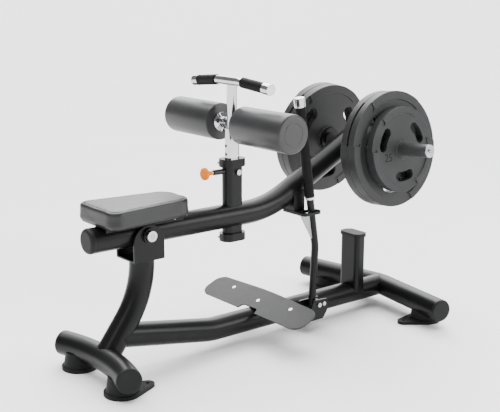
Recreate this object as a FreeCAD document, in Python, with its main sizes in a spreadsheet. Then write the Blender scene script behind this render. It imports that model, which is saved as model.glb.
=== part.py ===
import FreeCAD, Part
import math
import os
import re

import Sketcher
from FreeCAD import Placement, Rotation, Vector

# Plate-loaded seated calf raise machine.
# Frame: origin on the floor under the middle of the machine, +X from the seat towards the
# weight plates, +Y to the seated user's left, +Z up. Millimetres and degrees.

DOC = FreeCAD.newDocument("seated_calf_raise")
SHEET = DOC.addObject("Spreadsheet::Sheet", "Sizes")
UP = Vector(0, 0, 1)
X_AXIS = Vector(1, 0, 0)
Y_AXIS = Vector(0, 1, 0)

SIZES = {
    # Frame tube and the crossbars
    "tube_radius": 44.45,
    "tube_wall": 3.2,
    "bar_height": 76,
    "rear_bar_x": -667.2,
    "rear_bar_half": 220,
    "rear_bar_sweep": 36,
    "front_bar_x": 699.4,
    "front_bar_half": 395,
    "front_bar_angle": 10.2,
    "front_bar_bend": 200,
    "plug_gap": 0.3,
    "cap_rim": 4,
    "cap_dome": 6,
    # Upright and base tube
    "upright_x": -504.7,
    "upright_top": 412,
    "upright_bend_z": 285,
    "upright_bend": 350,
    "base_bend_x": -213,
    "base_bend": 300,
    "base_rear_x": -608.5,
    "base_rear_z": 147,
    # Feet
    "foot_radius": 64,
    "foot_top_radius": 48.5,
    "foot_height": 64,
    "foot_flange": 12,
    "foot_lug": 100,
    "foot_lug_radius": 24,
    "foot_hole": 6.5,
    "foot_rear_y": 146,
    "foot_rear_x": -684.3,
    "foot_front_y": 286,
    "foot_front_x": 665,
    "foot_front_angle": 14.5,
    # Pivot bracket, axle and hub
    "pivot_x": -508.8,
    "pivot_z": 503.5,
    "bracket_half": 61.25,
    "bracket_y": 59.6,
    "bracket_plate": 8,
    "bracket_base": 6,
    "bracket_top": 539,
    "axle_radius": 12.5,
    "axle_head_radius": 19,
    "axle_head": 11,
    "spacer_radius": 27,
    "spacer_length": 10,
    "hub_radius": 28,
    "hub_half": 48,
    "bush_radius": 17,
    "bush_flange_radius": 25,
    "bush_flange": 3,
    "bush_length": 30,
    "running_gap": 0.05,
    # Arm tube
    "arm_rear_x": -706,
    "arm_bend_x": 64.8,
    "arm_bend": 430,
    "arm_angle": 27.5,
    "arm_over_x": 30,
    "arm_cap_dome": 17,
    # Seat
    "seat_rear_x": -694,
    "seat_front_x": -332,
    "seat_rear_half": 130,
    "seat_front_half": 88,
    "seat_corner": 42,
    "seat_front_corner": 64,
    "seat_bottom": 560,
    "seat_top": 617,
    "board_inset": 12,
    "board_thickness": 8,
    "saddle_half": 36,
    "saddle_rear_x": -664,
    "saddle_front_x": -350,
    "saddle_low": 530,
    "saddle_plate": 5,
    "saddle_plate_half": 62,
    "seat_bolt_y": 52,
    "seat_bolt_rear": -610,
    "seat_bolt_front": -400,
    "seat_bolt_radius": 4,
    "seat_bolt_head": 4,
    # Post sleeve
    "post_x": -104.5,
    "sleeve_half_x": 40,
    "sleeve_half_y": 25,
    "sleeve_wall": 3.5,
    "sleeve_round": 24.5,
    "jam_x": -96.4,
    "jam_z": 668,
    "jam_radius": 5,
    "jam_reach": 9,
    "jam_head_radius": 10.5,
    "jam_head_length": 9,
    "sleeve_low": 414,
    "sleeve_high": 713,
    "collar_half_x": 50,
    "collar_half_y": 34,
    "collar_height": 24,
    "foot_collar_height": 24,
    "collar_plate": 5,
    # Knee post
    "post_half_x": 29,
    "post_half_y": 15,
    "post_round": 14.6,
    "post_low": 526,
    "post_high": 826,
    "post_wall": 3,
    "post_gap": 0.5,
    "hole_radius": 6,
    "hole_pitch": 31,
    "hole_first_z": 766,
    "hole_count": 7,
    "stem_radius": 19,
    # Knee rollers
    "roller_z": 846,
    "roller_radius": 68.5,
    "roller_inner_y": 66.1,
    "roller_outer_y": 341,
    "roller_edge": 9,
    "roller_axle_radius": 12.7,
    "roller_core_radius": 20,
    "roller_hub_radius": 36,
    "roller_hub_y": 34,
    # Handle
    "handle_z": 1002,
    "handle_half": 223,
    "handle_radius": 16,
    "handle_middle": 62,
    "handle_droop": 6.4,
    "handle_bend": 120,
    "handle_sweep": 29,
    "handle_shift": -10,
    "grip_radius": 19,
    "grip_start": 76,
    "grip_end": 186,
    "handle_cap_radius": 20.5,
    "handle_cap_length": 34,
    # Pull pin
    "pin_z": 673,
    "pin_radius": 4.5,
    "pin_barrel_radius": 10,
    "pin_barrel_length": 45,
    "pin_clear": 0.3,
    "pin_knob_x": -216,
    "pin_knob_bore": 20,
    "pin_knob_length": 42,
    "pin_knob_head": 16,
    "pin_knob_neck": 8,
    "pin_knob_radius": 23,
    "pin_travel_gap": 1,
    # Weight horns
    "horn_x": 523.3,
    "horn_z": 695.3,
    "horn_tilt": 4.96,
    "horn_radius": 24.9,
    "horn_length": 398,
    "horn_groove_wide": 1.5,
    "horn_groove_deep": 0.6,
    "cross_radius": 32,
    "cross_half": 60,
    "flange_radius": 47,
    "flange_thickness": 10,
    "plate_start": 151.8,
    # Weight plates
    "plate_radius": 225,
    "plate_bore": 25.3,
    "plate_thick": 38,
    "plate_space": 0.3,
    "plate_dish": 5,
    "small_radius": 164.2,
    "small_thick": 39.3,
    "plate_hub_share": 0.22,
    "plate_rim_share": 0.86,
    "grip_share": 0.64,
    "grip_wide": 0.115,
    "grip_bend": 10,
    "grip_reach": 0.18,
    "rim_gap_angle": 24.5,
    "plate_turn": 27.5,
    "small_turn": 34.5,
    # Catch on the arm
    "catch_z": 475,
    "catch_thick": 10,
    "catch_rear_x": 158,
    "slot_rear_x": 176,
    "slot_front_x": 250,
    "slot_half": 19.5,
    "loop_wall": 9,
    "catch_block_out": 47,
    "catch_block_in": 16,
    "catch_block_front": 214,
    "catch_rise": 90,
    "tooth_reach": 10,
    "tooth_gap": 0.5,
    "tooth_drop": 2.6,
    "tooth_thick": 8,
    # Catch lever
    "lever_x": 229.8,
    "lever_y": -80,
    "lever_z": 100,
    "lever_radius": 14.5,
    "lever_wall": 2.5,
    "lever_lean": 3.1,
    "lever_lower": 240.4,
    "lever_upper": 596,
    "lever_turn": 12.14,
    "lever_bend": 150,
    "lever_grip_radius": 19,
    "lever_grip_start": 196,
    "lever_ring": 9,
    "lever_cap_radius": 21.5,
    "lever_cap": 36,
    "lever_bolt_radius": 6,
    "lever_eye_radius": 20,
    "lever_eye_half": 19.5,
    "lever_pin_x": 245,
    "lever_pin_z": 105,
    "ear_gap": 0.5,
    "ear_plate": 8,
    "ear_rear_x": 172,
    "ear_left_x": 204,
    "ear_front_x": 292,
    "ear_low": 45,
    "ear_high": 125,
    "ear_web": 6,
    "ear_lug_rear_x": 196,
    "ear_lug_length": 70,
    "ear_lug_height": 56,
    "stay_bolt_x": 270,
    "stay_bolt_z": 106,
    "stay_bolt_radius": 4,
    # Foot plate
    "step_rear_x": -40.2,
    "step_rear_z": 116,
    "step_angle": 23.6,
    "step_depth": 118,
    "step_half": 300,
    "step_corner": 46,
    "step_bow": 14,
    "step_bow_radius": 1800,
    "step_notch": 24,
    "step_notch_half": 50,
    "step_thick": 5,
    "step_bolt_y": 173,
    "step_bolt_depth": 84,
    "step_bolt_middle_depth": 66,
    "step_bolt_shank": 4,
    "step_bolt_head": 8.5,
    "step_bolt_length": 22,
    "step_bar_rear": 48,
    "step_bar_width": 48,
    "step_bar_half": 196,
    "step_bar_thick": 6,
    "step_web_rear": 10,
    "step_web_front": 40,
    "step_web_half": 24,
    # Stop post
    "stop_x": 530.8,
    "stop_half_x": 27,
    "stop_half_y": 51,
    "stop_round": 18,
    "stop_wall": 3,
    "stop_low": 84,
    "stop_top": 332,
    "stop_cap": 14,
    "stop_cap_over": 4,
    "stop_lip": 5,
}

for row, (alias, number) in enumerate(SIZES.items(), start=1):
    SHEET.set(f"A{row}", alias)
    SHEET.set(f"B{row}", str(number))
    SHEET.setAlias(f"B{row}", alias)
DOC.recompute()

PIECES = []


def cells(text):
    """Expression text with every size name turned into its sheet cell."""
    return re.sub(r"[a-z][a-z_]*", lambda m: "Sizes." + m.group() if m.group() in SIZES else m.group(), str(text))


def value(text):
    """The number that an expression gives now."""
    return float(SHEET.evalExpression(cells(text)))


def bind(obj, settings):
    """Binds properties of obj to expressions of the sheet."""
    for prop, text in settings.items():
        obj.setExpression(prop, cells(text))


def place(obj, at=("0", "0", "0"), axis=None, angle="0"):
    """Puts obj at a point, turned about axis, both bound to the sheet."""
    if axis is not None:
        obj.Placement = Placement(Vector(), Rotation(axis, value(angle)))
        bind(obj, {"Placement.Rotation.Angle": angle})
    bind(obj, {f"Placement.Base.{name}": text for name, text in zip("xyz", at)})
    return obj


def piece(label, obj):
    """Registers obj as a sub-part of the machine."""
    obj.Label = label
    PIECES.append(obj)
    return obj


# Primitives and booleans


def cylinder(name, radius, length, at=("0", "0", "0"), axis=None, angle="0"):
    obj = DOC.addObject("Part::Cylinder", name)
    bind(obj, {"Radius": radius, "Height": length})
    return place(obj, at, axis, angle)


def cone(name, low_radius, high_radius, length, at=("0", "0", "0"), axis=None, angle="0"):
    obj = DOC.addObject("Part::Cone", name)
    bind(obj, {"Radius1": low_radius, "Radius2": high_radius, "Height": length})
    return place(obj, at, axis, angle)


def block(name, size, at=("0", "0", "0"), axis=None, angle="0"):
    obj = DOC.addObject("Part::Box", name)
    bind(obj, dict(zip(("Length", "Width", "Height"), size)))
    return place(obj, at, axis, angle)


def cut(name, base, *tools):
    """base minus every tool, one Part::Cut after another."""
    for number, tool in enumerate(tools):
        step = DOC.addObject("Part::Cut", name if number == 0 else f"{name}_{number}")
        step.Base = base
        step.Tool = tool
        base = step
    return base


def fuse(name, *shapes):
    obj = DOC.addObject("Part::MultiFuse", name)
    obj.Shapes = list(shapes)
    obj.Refine = True
    return obj


def group(name, *solids):
    """Identical or paired solids kept apart in one node."""
    obj = DOC.addObject("Part::Compound", name)
    obj.Links = list(solids)
    return obj


# Sketches


def plane_of(body, role):
    return next(f for f in body.Origin.OriginFeatures if f.Role == role)


def new_body(name):
    return DOC.addObject("PartDesign::Body", name)


def sketch_on(body, name, role="XZ_Plane", offset="0"):
    """A sketch on one of the body's origin planes, offset along its normal (-Y for XZ_Plane)."""
    sketch = body.newObject("Sketcher::SketchObject", name)
    sketch.AttachmentSupport = [(plane_of(body, role), "")]
    sketch.MapMode = "FlatFace"
    bind(sketch, {"AttachmentOffset.Base.z": offset})
    return sketch


def hold_point(sketch, geometry, position, at):
    """Pins one point of a sketch at two expressions."""
    for kind, text in zip(("DistanceX", "DistanceY"), at):
        index = sketch.addConstraint(Sketcher.Constraint(kind, geometry, position, value(text)))
        bind(sketch, {f"Constraints[{index}]": text})


def add_circle(sketch, centre, radius):
    at = Vector(value(centre[0]), value(centre[1]), 0)
    circle = sketch.addGeometry(Part.Circle(at, UP, value(radius)))
    hold_point(sketch, circle, 3, centre)
    index = sketch.addConstraint(Sketcher.Constraint("Radius", circle, value(radius)))
    bind(sketch, {f"Constraints[{index}]": radius})


def add_path(sketch, corners, closed=True):
    """A chain of lines through (x, y[, radius]) corners. A corner with a radius is a tangent arc."""
    count = len(corners)
    points = [Vector(value(corner[0]), value(corner[1]), 0) for corner in corners]
    entry = list(points)
    leave = list(points)
    arcs = {}
    for i, corner in enumerate(corners):
        if len(corner) < 3:
            continue
        before = (points[i - 1] - points[i]).normalize()
        after = (points[(i + 1) % count] - points[i]).normalize()
        half = before.getAngle(after) / 2
        radius = value(corner[2])
        entry[i] = points[i] + before * (radius / math.tan(half))
        leave[i] = points[i] + after * (radius / math.tan(half))
        centre = points[i] + (before + after).normalize() * (radius / math.sin(half))
        left_turn = before.cross(after).z < 0
        first, last = (entry[i], leave[i]) if left_turn else (leave[i], entry[i])
        start = math.atan2(first.y - centre.y, first.x - centre.x)
        end = math.atan2(last.y - centre.y, last.x - centre.x)
        arcs[i] = (Part.ArcOfCircle(Part.Circle(centre, UP, radius), start, end), left_turn)
    lines = {}
    for i in range(count if closed else count - 1):
        lines[i] = sketch.addGeometry(Part.LineSegment(leave[i], entry[(i + 1) % count]))
    for i, corner in enumerate(corners):
        before = lines.get((i - 1) % count)
        after = lines.get(i)
        if i in arcs:
            arc, left_turn = arcs[i]
            arc = sketch.addGeometry(arc)
            first, last = (1, 2) if left_turn else (2, 1)
            sketch.addConstraint(Sketcher.Constraint("Tangent", before, 2, arc, first))
            sketch.addConstraint(Sketcher.Constraint("Tangent", arc, last, after, 1))
            index = sketch.addConstraint(Sketcher.Constraint("Radius", arc, value(corner[2])))
            bind(sketch, {f"Constraints[{index}]": corner[2]})
            point = sketch.addGeometry(Part.Point(points[i]), True)
            sketch.addConstraint(Sketcher.Constraint("PointOnObject", point, 1, before))
            sketch.addConstraint(Sketcher.Constraint("PointOnObject", point, 1, after))
            hold_point(sketch, point, 1, corner)
        elif after is None:
            hold_point(sketch, before, 2, corner)
        else:
            if before is not None:
                sketch.addConstraint(Sketcher.Constraint("Coincident", before, 2, after, 1))
            hold_point(sketch, after, 1, corner)


def rounded(middle_x, middle_y, half_x, half_y, radius):
    """Corners of a rounded rectangle."""
    return [
        (f"{middle_x} + ({sx}) * ({half_x})", f"{middle_y} + ({sy}) * ({half_y})", radius)
        for sx, sy in ((-1, -1), (1, -1), (1, 1), (-1, 1))
    ]


# PartDesign features


def extrude(body, sketch, length, kind="Pad", both=False, reverse=False):
    feature = body.newObject(f"PartDesign::{kind}", f"{sketch.Name}_{kind.lower()}")
    feature.Profile = sketch
    feature.SideType = "Symmetric" if both else "One side"
    feature.Reversed = reverse
    bind(feature, {"Length": length})
    return feature


def revolve(body, sketch):
    feature = body.newObject("PartDesign::Revolution", f"{sketch.Name}_turn")
    feature.Profile = sketch
    feature.ReferenceAxis = (sketch, ["V_Axis"])
    feature.Angle = 360
    return feature


def turned(name, corners, at=("0", "0", "0"), axis=None, angle="0", along="Z"):
    """A body turned from (radius, height) corners about its own Z or Y axis."""
    body = new_body(name)
    sketch = sketch_on(body, f"{name}_profile", "XZ_Plane" if along == "Z" else "XY_Plane")
    add_path(sketch, corners)
    revolve(body, sketch)
    return place(body, at, axis, angle)


def plate(name, corners, thickness, role="XZ_Plane", offset="0", both=True, holes=()):
    """A flat body padded from an outline, with round holes (x, y, radius)."""
    body = new_body(name)
    sketch = sketch_on(body, f"{name}_outline", role, offset)
    add_path(sketch, corners)
    for x, y, radius in holes:
        add_circle(sketch, (x, y), radius)
    extrude(body, sketch, thickness, both=both)
    return body


def sweep(body, name, profile, spine):
    feature = body.newObject("PartDesign::AdditivePipe", name)
    feature.Profile = profile
    feature.Spine = (spine, [])
    return feature


def ring_profile(body, name, role, offset, centre, radius, wall=None):
    sketch = sketch_on(body, name, role, offset)
    add_circle(sketch, centre, radius)
    if wall is not None:
        add_circle(sketch, centre, f"{radius} - {wall}")
    return sketch


def bent_tube(name, corners, start_role, radius="tube_radius", wall="tube_wall"):
    """A round tube along a path of (x, z[, bend radius]) corners in the middle plane."""
    body = new_body(name)
    x, z = corners[0][:2]
    level = start_role == "YZ_Plane"
    offset, centre = (x, ("0", z)) if level else (z, (x, "0"))
    profile = ring_profile(body, f"{name}_ring", start_role, offset, centre, radius, wall)
    spine = sketch_on(body, f"{name}_spine")
    add_path(spine, corners, closed=False)
    sweep(body, f"{name}_sweep", profile, spine)
    return body


def crossbar(name, middle_x, arc_radius, arc_angle, end=None, wall="tube_wall"):
    """A bar on the floor frame, bent back at its middle: an arc each way, then a line to end."""
    body = new_body(name)
    profile = ring_profile(body, f"{name}_ring", "XZ_Plane", "0", (middle_x, "bar_height"), "tube_radius", wall)
    spine = sketch_on(body, f"{name}_spine", "XY_Plane", "bar_height")
    centre = Vector(value(middle_x) - value(arc_radius), 0, 0)
    circle = Part.Circle(centre, UP, value(arc_radius))
    arc = spine.addGeometry(Part.ArcOfCircle(circle, 0, math.radians(value(arc_angle))))
    hold_point(spine, arc, 3, (f"{middle_x} - ({arc_radius})", "0"))
    hold_point(spine, arc, 1, (middle_x, "0"))
    if end is None:
        index = spine.addConstraint(Sketcher.Constraint("DistanceY", arc, 2, value("rear_bar_half")))
        bind(spine, {f"Constraints[{index}]": "rear_bar_half"})
    else:
        last = Vector(value(end[0]), value(end[1]), 0)
        line = spine.addGeometry(Part.LineSegment(spine.Geometry[arc].EndPoint, last))
        spine.addConstraint(Sketcher.Constraint("Tangent", arc, 2, line, 1))
        hold_point(spine, line, 2, end)
    half = sweep(body, f"{name}_sweep", profile, spine)
    mirror = body.newObject("PartDesign::Mirrored", f"{name}_mirror")
    mirror.Originals = [half]
    mirror.MirrorPlane = (plane_of(body, "XZ_Plane"), [""])
    body.Tip = mirror
    return body


# Rods, rings and discs across the machine


def across(name, radius, start_y, length, x, z):
    """A cylinder along +Y."""
    return cylinder(name, radius, length, (x, start_y, z), X_AXIS, "-90")


def along_x(name, radius, start_x, length, y, z):
    """A cylinder along +X."""
    return cylinder(name, radius, length, (start_x, y, z), Y_AXIS, "90")


SIDES = (("right", "-1"), ("left", "1"))


# Floor frame

REAR_ARC = "(rear_bar_half ^ 2 + rear_bar_sweep ^ 2) / (2 * rear_bar_sweep)"
REAR_ANGLE = f"asin(rear_bar_half / ({REAR_ARC}))"
FRONT_STRAIGHT = "(front_bar_half - front_bar_bend * sin(front_bar_angle)) * tan(front_bar_angle)"
FRONT_SWEEP = f"front_bar_bend * (1 - cos(front_bar_angle)) + {FRONT_STRAIGHT}"
FRONT_END = (f"front_bar_x - ({FRONT_SWEEP})", "front_bar_half")
REAR = ("rear_bar_x", REAR_ARC, REAR_ANGLE)
FRONT = ("front_bar_x", "front_bar_bend", "front_bar_angle", FRONT_END)

piece("rear_crossbar", crossbar("rear_bar", *REAR))
piece("front_crossbar", crossbar("front_bar", *FRONT))
rear_solid = crossbar("rear_bar_filled", *REAR, wall=None)
front_solid = crossbar("front_bar_filled", *FRONT, wall=None)

UPRIGHT_PATH = [
    ("upright_x", "upright_top"),
    ("upright_x", "upright_bend_z", "upright_bend"),
    ("rear_bar_x + 5", "bar_height"),
]
BASE_PATH = [
    ("front_bar_x", "bar_height"),
    ("base_bend_x", "bar_height", "base_bend"),
    ("base_rear_x", "base_rear_z"),
]
upright_solid = bent_tube("upright_filled", UPRIGHT_PATH, "XY_Plane", wall=None)
base_solid = bent_tube("base_filled", BASE_PATH, "YZ_Plane", wall=None)
piece("upright", cut("upright_cut", bent_tube("upright_tube", UPRIGHT_PATH, "XY_Plane"), rear_solid))
base_pipe = bent_tube("base_pipe", BASE_PATH, "YZ_Plane")
piece("base_tube", cut("base_cut", base_pipe, front_solid, upright_solid))


def end_cap(name, x, y, angle, dome, radius="tube_radius", z="bar_height"):
    """A plastic plug with a rounded head, pointing along its own Y axis turned about Z."""
    plug = "tube_radius - tube_wall - plug_gap"
    corners = [
        ("0", "-18"),
        (plug, "-18"),
        (plug, "0"),
        (radius, "0"),
        (radius, dome, f"0.7 * ({dome})"),
        ("0", dome),
    ]
    return turned(name, corners, (x, y, z), UP, angle, along="Y")


BAR_CAP = "cap_rim + cap_dome"
REAR_END_X = "rear_bar_x - rear_bar_sweep"
piece(
    "crossbar_caps",
    group(
        "bar_caps",
        end_cap("cap_rear_left", REAR_END_X, "rear_bar_half", REAR_ANGLE, BAR_CAP),
        end_cap("cap_rear_right", REAR_END_X, "-rear_bar_half", f"180 deg - {REAR_ANGLE}", BAR_CAP),
        end_cap("cap_front_left", FRONT_END[0], "front_bar_half", "front_bar_angle", BAR_CAP),
        end_cap("cap_front_right", FRONT_END[0], "-front_bar_half", "180 - front_bar_angle", BAR_CAP),
    ),
)


def foot(name, x, y, angle, bar):
    """A domed floor foot that hugs the bar, with a flange that runs out to a bolt hole."""
    lug = (f"({x}) + foot_lug * cos({angle})", f"({y}) + foot_lug * sin({angle})")
    lean = "(foot_radius - foot_lug_radius) / foot_lug"
    side = f"sqrt(1 - ({lean}) ^ 2)"
    web_corners = [
        (f"foot_radius * {lean}", f"foot_radius * {side}"),
        (f"foot_radius * {lean}", f"-foot_radius * {side}"),
        (f"foot_lug + foot_lug_radius * {lean}", f"-foot_lug_radius * {side}"),
        (f"foot_lug + foot_lug_radius * {lean}", f"foot_lug_radius * {side}"),
    ]
    web = plate(f"{name}_web", web_corners, "foot_flange", "XY_Plane", both=False)
    place(web, (x, y, "0"), UP, angle)
    body = fuse(
        f"{name}_body",
        cylinder(f"{name}_flange", "foot_radius", "foot_flange", (x, y, "0")),
        cone(f"{name}_dome", "foot_radius - 5", "foot_top_radius", "foot_height", (x, y, "0")),
        cylinder(f"{name}_lug", "foot_lug_radius", "foot_flange", (*lug, "0")),
        web,
    )
    hole = cylinder(f"{name}_hole", "foot_hole", "foot_flange", (*lug, "0"))
    return cut(name, body, hole, bar)


piece(
    "rear_feet",
    group(
        "feet_rear",
        foot("foot_rear_right", "foot_rear_x", "-foot_rear_y", "0", rear_solid),
        foot("foot_rear_left", "foot_rear_x", "foot_rear_y", "0", rear_solid),
    ),
)
piece(
    "front_feet",
    group(
        "feet_front",
        foot("foot_front_right", "foot_front_x", "-foot_front_y", "180 - foot_front_angle", front_solid),
        foot("foot_front_left", "foot_front_x", "foot_front_y", "180 + foot_front_angle", front_solid),
    ),
)

# Pivot bracket on the upright, with its axle

bracket = new_body("bracket")
bracket_side = sketch_on(bracket, "bracket_side")
add_path(
    bracket_side,
    [
        ("pivot_x - bracket_half", "upright_top"),
        ("pivot_x + bracket_half", "upright_top"),
        ("pivot_x + bracket_half", "bracket_top", "bracket_half - 1"),
        ("pivot_x - bracket_half", "bracket_top", "bracket_half - 1"),
    ],
)
add_circle(bracket_side, ("pivot_x", "pivot_z"), "axle_radius")
extrude(bracket, bracket_side, "2 * bracket_y", both=True)
bracket_gap = sketch_on(bracket, "bracket_gap", "YZ_Plane", "pivot_x")
add_path(
    bracket_gap,
    [
        ("-(bracket_y - bracket_plate)", "upright_top + bracket_base"),
        ("bracket_y - bracket_plate", "upright_top + bracket_base"),
        ("bracket_y - bracket_plate", "bracket_top + 1"),
        ("-(bracket_y - bracket_plate)", "bracket_top + 1"),
    ],
)
extrude(bracket, bracket_gap, "2 * bracket_half + 2", "Pocket", both=True)
piece("pivot_bracket", bracket)

AXLE_END = "bracket_y + spacer_length"
axle_bar = across("axle_bar", "axle_radius", f"-({AXLE_END})", f"2 * ({AXLE_END})", "pivot_x", "pivot_z")
axle_head_right = across(
    "axle_head_right", "axle_head_radius", f"-({AXLE_END}) - axle_head", "axle_head", "pivot_x", "pivot_z"
)
axle_head_left = across("axle_head_left", "axle_head_radius", AXLE_END, "axle_head", "pivot_x", "pivot_z")
piece("pivot_axle", fuse("axle", axle_bar, axle_head_right, axle_head_left))


def across_ring(name, radius, bore, start_y, length, x, z):
    """A ring along +Y."""
    outer = across(f"{name}_outer", radius, start_y, length, x, z)
    return cut(name, outer, across(f"{name}_bore", bore, start_y, length, x, z))


piece(
    "axle_spacers",
    group(
        "spacers",
        across_ring(
            "spacer_right", "spacer_radius", "axle_radius", f"-({AXLE_END})", "spacer_length", "pivot_x", "pivot_z"
        ),
        across_ring("spacer_left", "spacer_radius", "axle_radius", "bracket_y", "spacer_length", "pivot_x", "pivot_z"),
    ),
)

# Foot plate, its support and bolts: a local frame that slopes up towards the front


def on_step(obj, x="0", y="0", z="0"):
    """Places obj in the foot plate's sloping frame."""
    at = (
        f"step_rear_x + ({x}) * cos(step_angle) - ({z}) * sin(step_angle)",
        y,
        f"step_rear_z + ({x}) * sin(step_angle) + ({z}) * cos(step_angle)",
    )
    return place(obj, at, Y_AXIS, "-step_angle")


def step_bolt(name, x, y):
    shank = cylinder(f"{name}_shank", "step_bolt_shank", "step_bolt_length")
    head = cone(f"{name}_head", "step_bolt_shank", "step_bolt_head", "step_thick")
    on_step(shank, x, y, "-step_bolt_length")
    on_step(head, x, y, "-step_thick")
    return fuse(name, shank, head)


step_bolts = [
    step_bolt("step_bolt_right", "step_bolt_depth", "-step_bolt_y"),
    step_bolt("step_bolt_middle", "step_bolt_middle_depth", "0"),
    step_bolt("step_bolt_left", "step_bolt_depth", "step_bolt_y"),
]
step = plate(
    "step",
    [
        ("0", "step_half", "step_corner"),
        ("0", "step_notch_half"),
        ("step_notch", "step_notch_half - 8", "10"),
        ("step_notch", "-(step_notch_half - 8)", "10"),
        ("0", "-step_notch_half"),
        ("0", "-step_half", "step_corner"),
        ("step_depth", "-step_half", "step_corner"),
        ("step_depth + step_bow", "0", "step_bow_radius"),
        ("step_depth", "step_half", "step_corner"),
    ],
    "step_thick",
    "XY_Plane",
    "-step_thick",
    both=False,
)
piece("foot_plate", cut("step_cut", on_step(step), *step_bolts))
piece("foot_plate_bolts", group("step_bolts", *step_bolts))

step_bar = block("step_bar", ("step_bar_width", "2 * step_bar_half", "step_bar_thick"))
on_step(step_bar, "step_bar_rear", "-step_bar_half", "-step_thick - step_bar_thick")
UNDER_BAR = "(step_thick + step_bar_thick - 1) / cos(step_angle)"


def under_step(x):
    """Height just inside the support bar, at x."""
    return f"step_rear_z + (({x}) - step_rear_x) * tan(step_angle) - {UNDER_BAR}"


step_web = plate(
    "step_web",
    [
        ("step_web_rear", "bar_height"),
        ("step_web_front", "bar_height"),
        ("step_web_front", under_step("step_web_front")),
        ("step_web_rear", under_step("step_web_rear")),
    ],
    "2 * step_web_half",
)
piece("foot_plate_support", cut("step_support", fuse("step_frame", step_bar, step_web), base_solid, *step_bolts))

# Stop post with its rubber cap


def hollow_post(name, middle, half_x, half_y, radius, wall, low, high):
    """An upright tube of rounded rectangular section; wall None leaves it filled."""
    body = new_body(name)
    sketch = sketch_on(body, f"{name}_section", "XY_Plane", low)
    add_path(sketch, rounded(middle, "0", half_x, half_y, radius))
    if wall is not None:
        inside = (f"{half_x} - {wall}", f"{half_y} - {wall}", f"{radius} - {wall}")
        add_path(sketch, rounded(middle, "0", *inside))
    extrude(body, sketch, f"({high}) - ({low})")
    return body


STOP = ("stop_x", "stop_half_x", "stop_half_y", "stop_round")
stop_pipe = hollow_post("stop_pipe", *STOP, "stop_wall", "stop_low", "stop_top")
piece("stop_post", cut("stop_cut", stop_pipe, base_solid))
stop_cap = hollow_post(
    "stop_cap_body",
    "stop_x",
    "stop_half_x + stop_lip",
    "stop_half_y + stop_lip",
    "stop_round + stop_lip",
    None,
    "stop_top + stop_cap_over - stop_cap",
    "stop_top + stop_cap_over",
)
stop_end = hollow_post("stop_end", *STOP, None, "stop_low", "stop_top")
piece("stop_post_cap", cut("stop_cap_cut", stop_cap, stop_end))

# Arm: bent tube on the pivot hub

ARM_END = ("horn_x + arm_over_x", "pivot_z + (horn_x + arm_over_x - arm_bend_x) * tan(arm_angle)")
ARM_PATH = [("arm_rear_x", "pivot_z"), ("arm_bend_x", "pivot_z", "arm_bend"), ARM_END]
arm_pipe = bent_tube("arm_pipe", ARM_PATH, "YZ_Plane")
arm_solid = bent_tube("arm_filled", ARM_PATH, "YZ_Plane", wall=None)
hub_solid = across("hub_filled", "hub_radius", "-hub_half", "2 * hub_half", "pivot_x", "pivot_z")
SLEEVE = ("post_x", "sleeve_half_x", "sleeve_half_y", "sleeve_round")
sleeve_solid = hollow_post("sleeve_filled", *SLEEVE, None, "sleeve_low", "sleeve_high")
cross_solid = across("cross_filled", "cross_radius", "-cross_half", "2 * cross_half", "horn_x", "horn_z")
piece("arm_tube", cut("arm_cut", arm_pipe, hub_solid, sleeve_solid, cross_solid))
piece("horn_crossbar", cross_solid)
piece(
    "arm_rear_cap",
    end_cap("arm_rear_cap_body", "arm_rear_x", "0", "90", "arm_cap_dome", z="pivot_z"),
)
front_plug = turned(
    "front_plug",
    [
        ("0", "0"),
        ("tube_radius", "0"),
        ("tube_radius", "cap_rim + cap_dome", "cap_dome"),
        ("0", "cap_rim + cap_dome"),
    ],
    (ARM_END[0], "0", ARM_END[1]),
    Y_AXIS,
    "90 - arm_angle",
)
piece("arm_front_cap", front_plug)
hub_bore = across("hub_bore", "bush_radius", "-hub_half", "2 * hub_half", "pivot_x", "pivot_z")
piece("pivot_hub", cut("hub_cut", hub_solid, hub_bore))


def bush(name, start_y, flange_y):
    barrel = across(f"{name}_barrel", "bush_radius", start_y, "bush_length", "pivot_x", "pivot_z")
    flange = across(f"{name}_flange", "bush_flange_radius", flange_y, "bush_flange", "pivot_x", "pivot_z")
    low_y, length = "-hub_half - bush_flange", "2 * (hub_half + bush_flange)"
    bore = across(f"{name}_bore", "axle_radius + running_gap", low_y, length, "pivot_x", "pivot_z")
    return cut(name, fuse(f"{name}_solid", barrel, flange), bore)


piece(
    "pivot_bushes",
    group(
        "bushes",
        bush("bush_right", "-hub_half", "-hub_half - bush_flange"),
        bush("bush_left", "hub_half - bush_length", "hub_half"),
    ),
)

# Seat


def seat_outline(inset):
    """The seat tapers from its rear edge to its front edge."""
    corner = f"seat_corner - {inset}"
    front_corner = f"seat_front_corner - {inset}"
    return [
        (f"seat_rear_x + {inset}", f"seat_rear_half - {inset}", corner),
        (f"seat_rear_x + {inset}", f"-(seat_rear_half - {inset})", corner),
        (f"seat_front_x - {inset}", f"-(seat_front_half - {inset})", front_corner),
        (f"seat_front_x - {inset}", f"seat_front_half - {inset}", front_corner),
    ]


board = plate(
    "board",
    seat_outline("board_inset"),
    "board_thickness",
    "XY_Plane",
    "seat_bottom - board_thickness",
    both=False,
)
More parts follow.
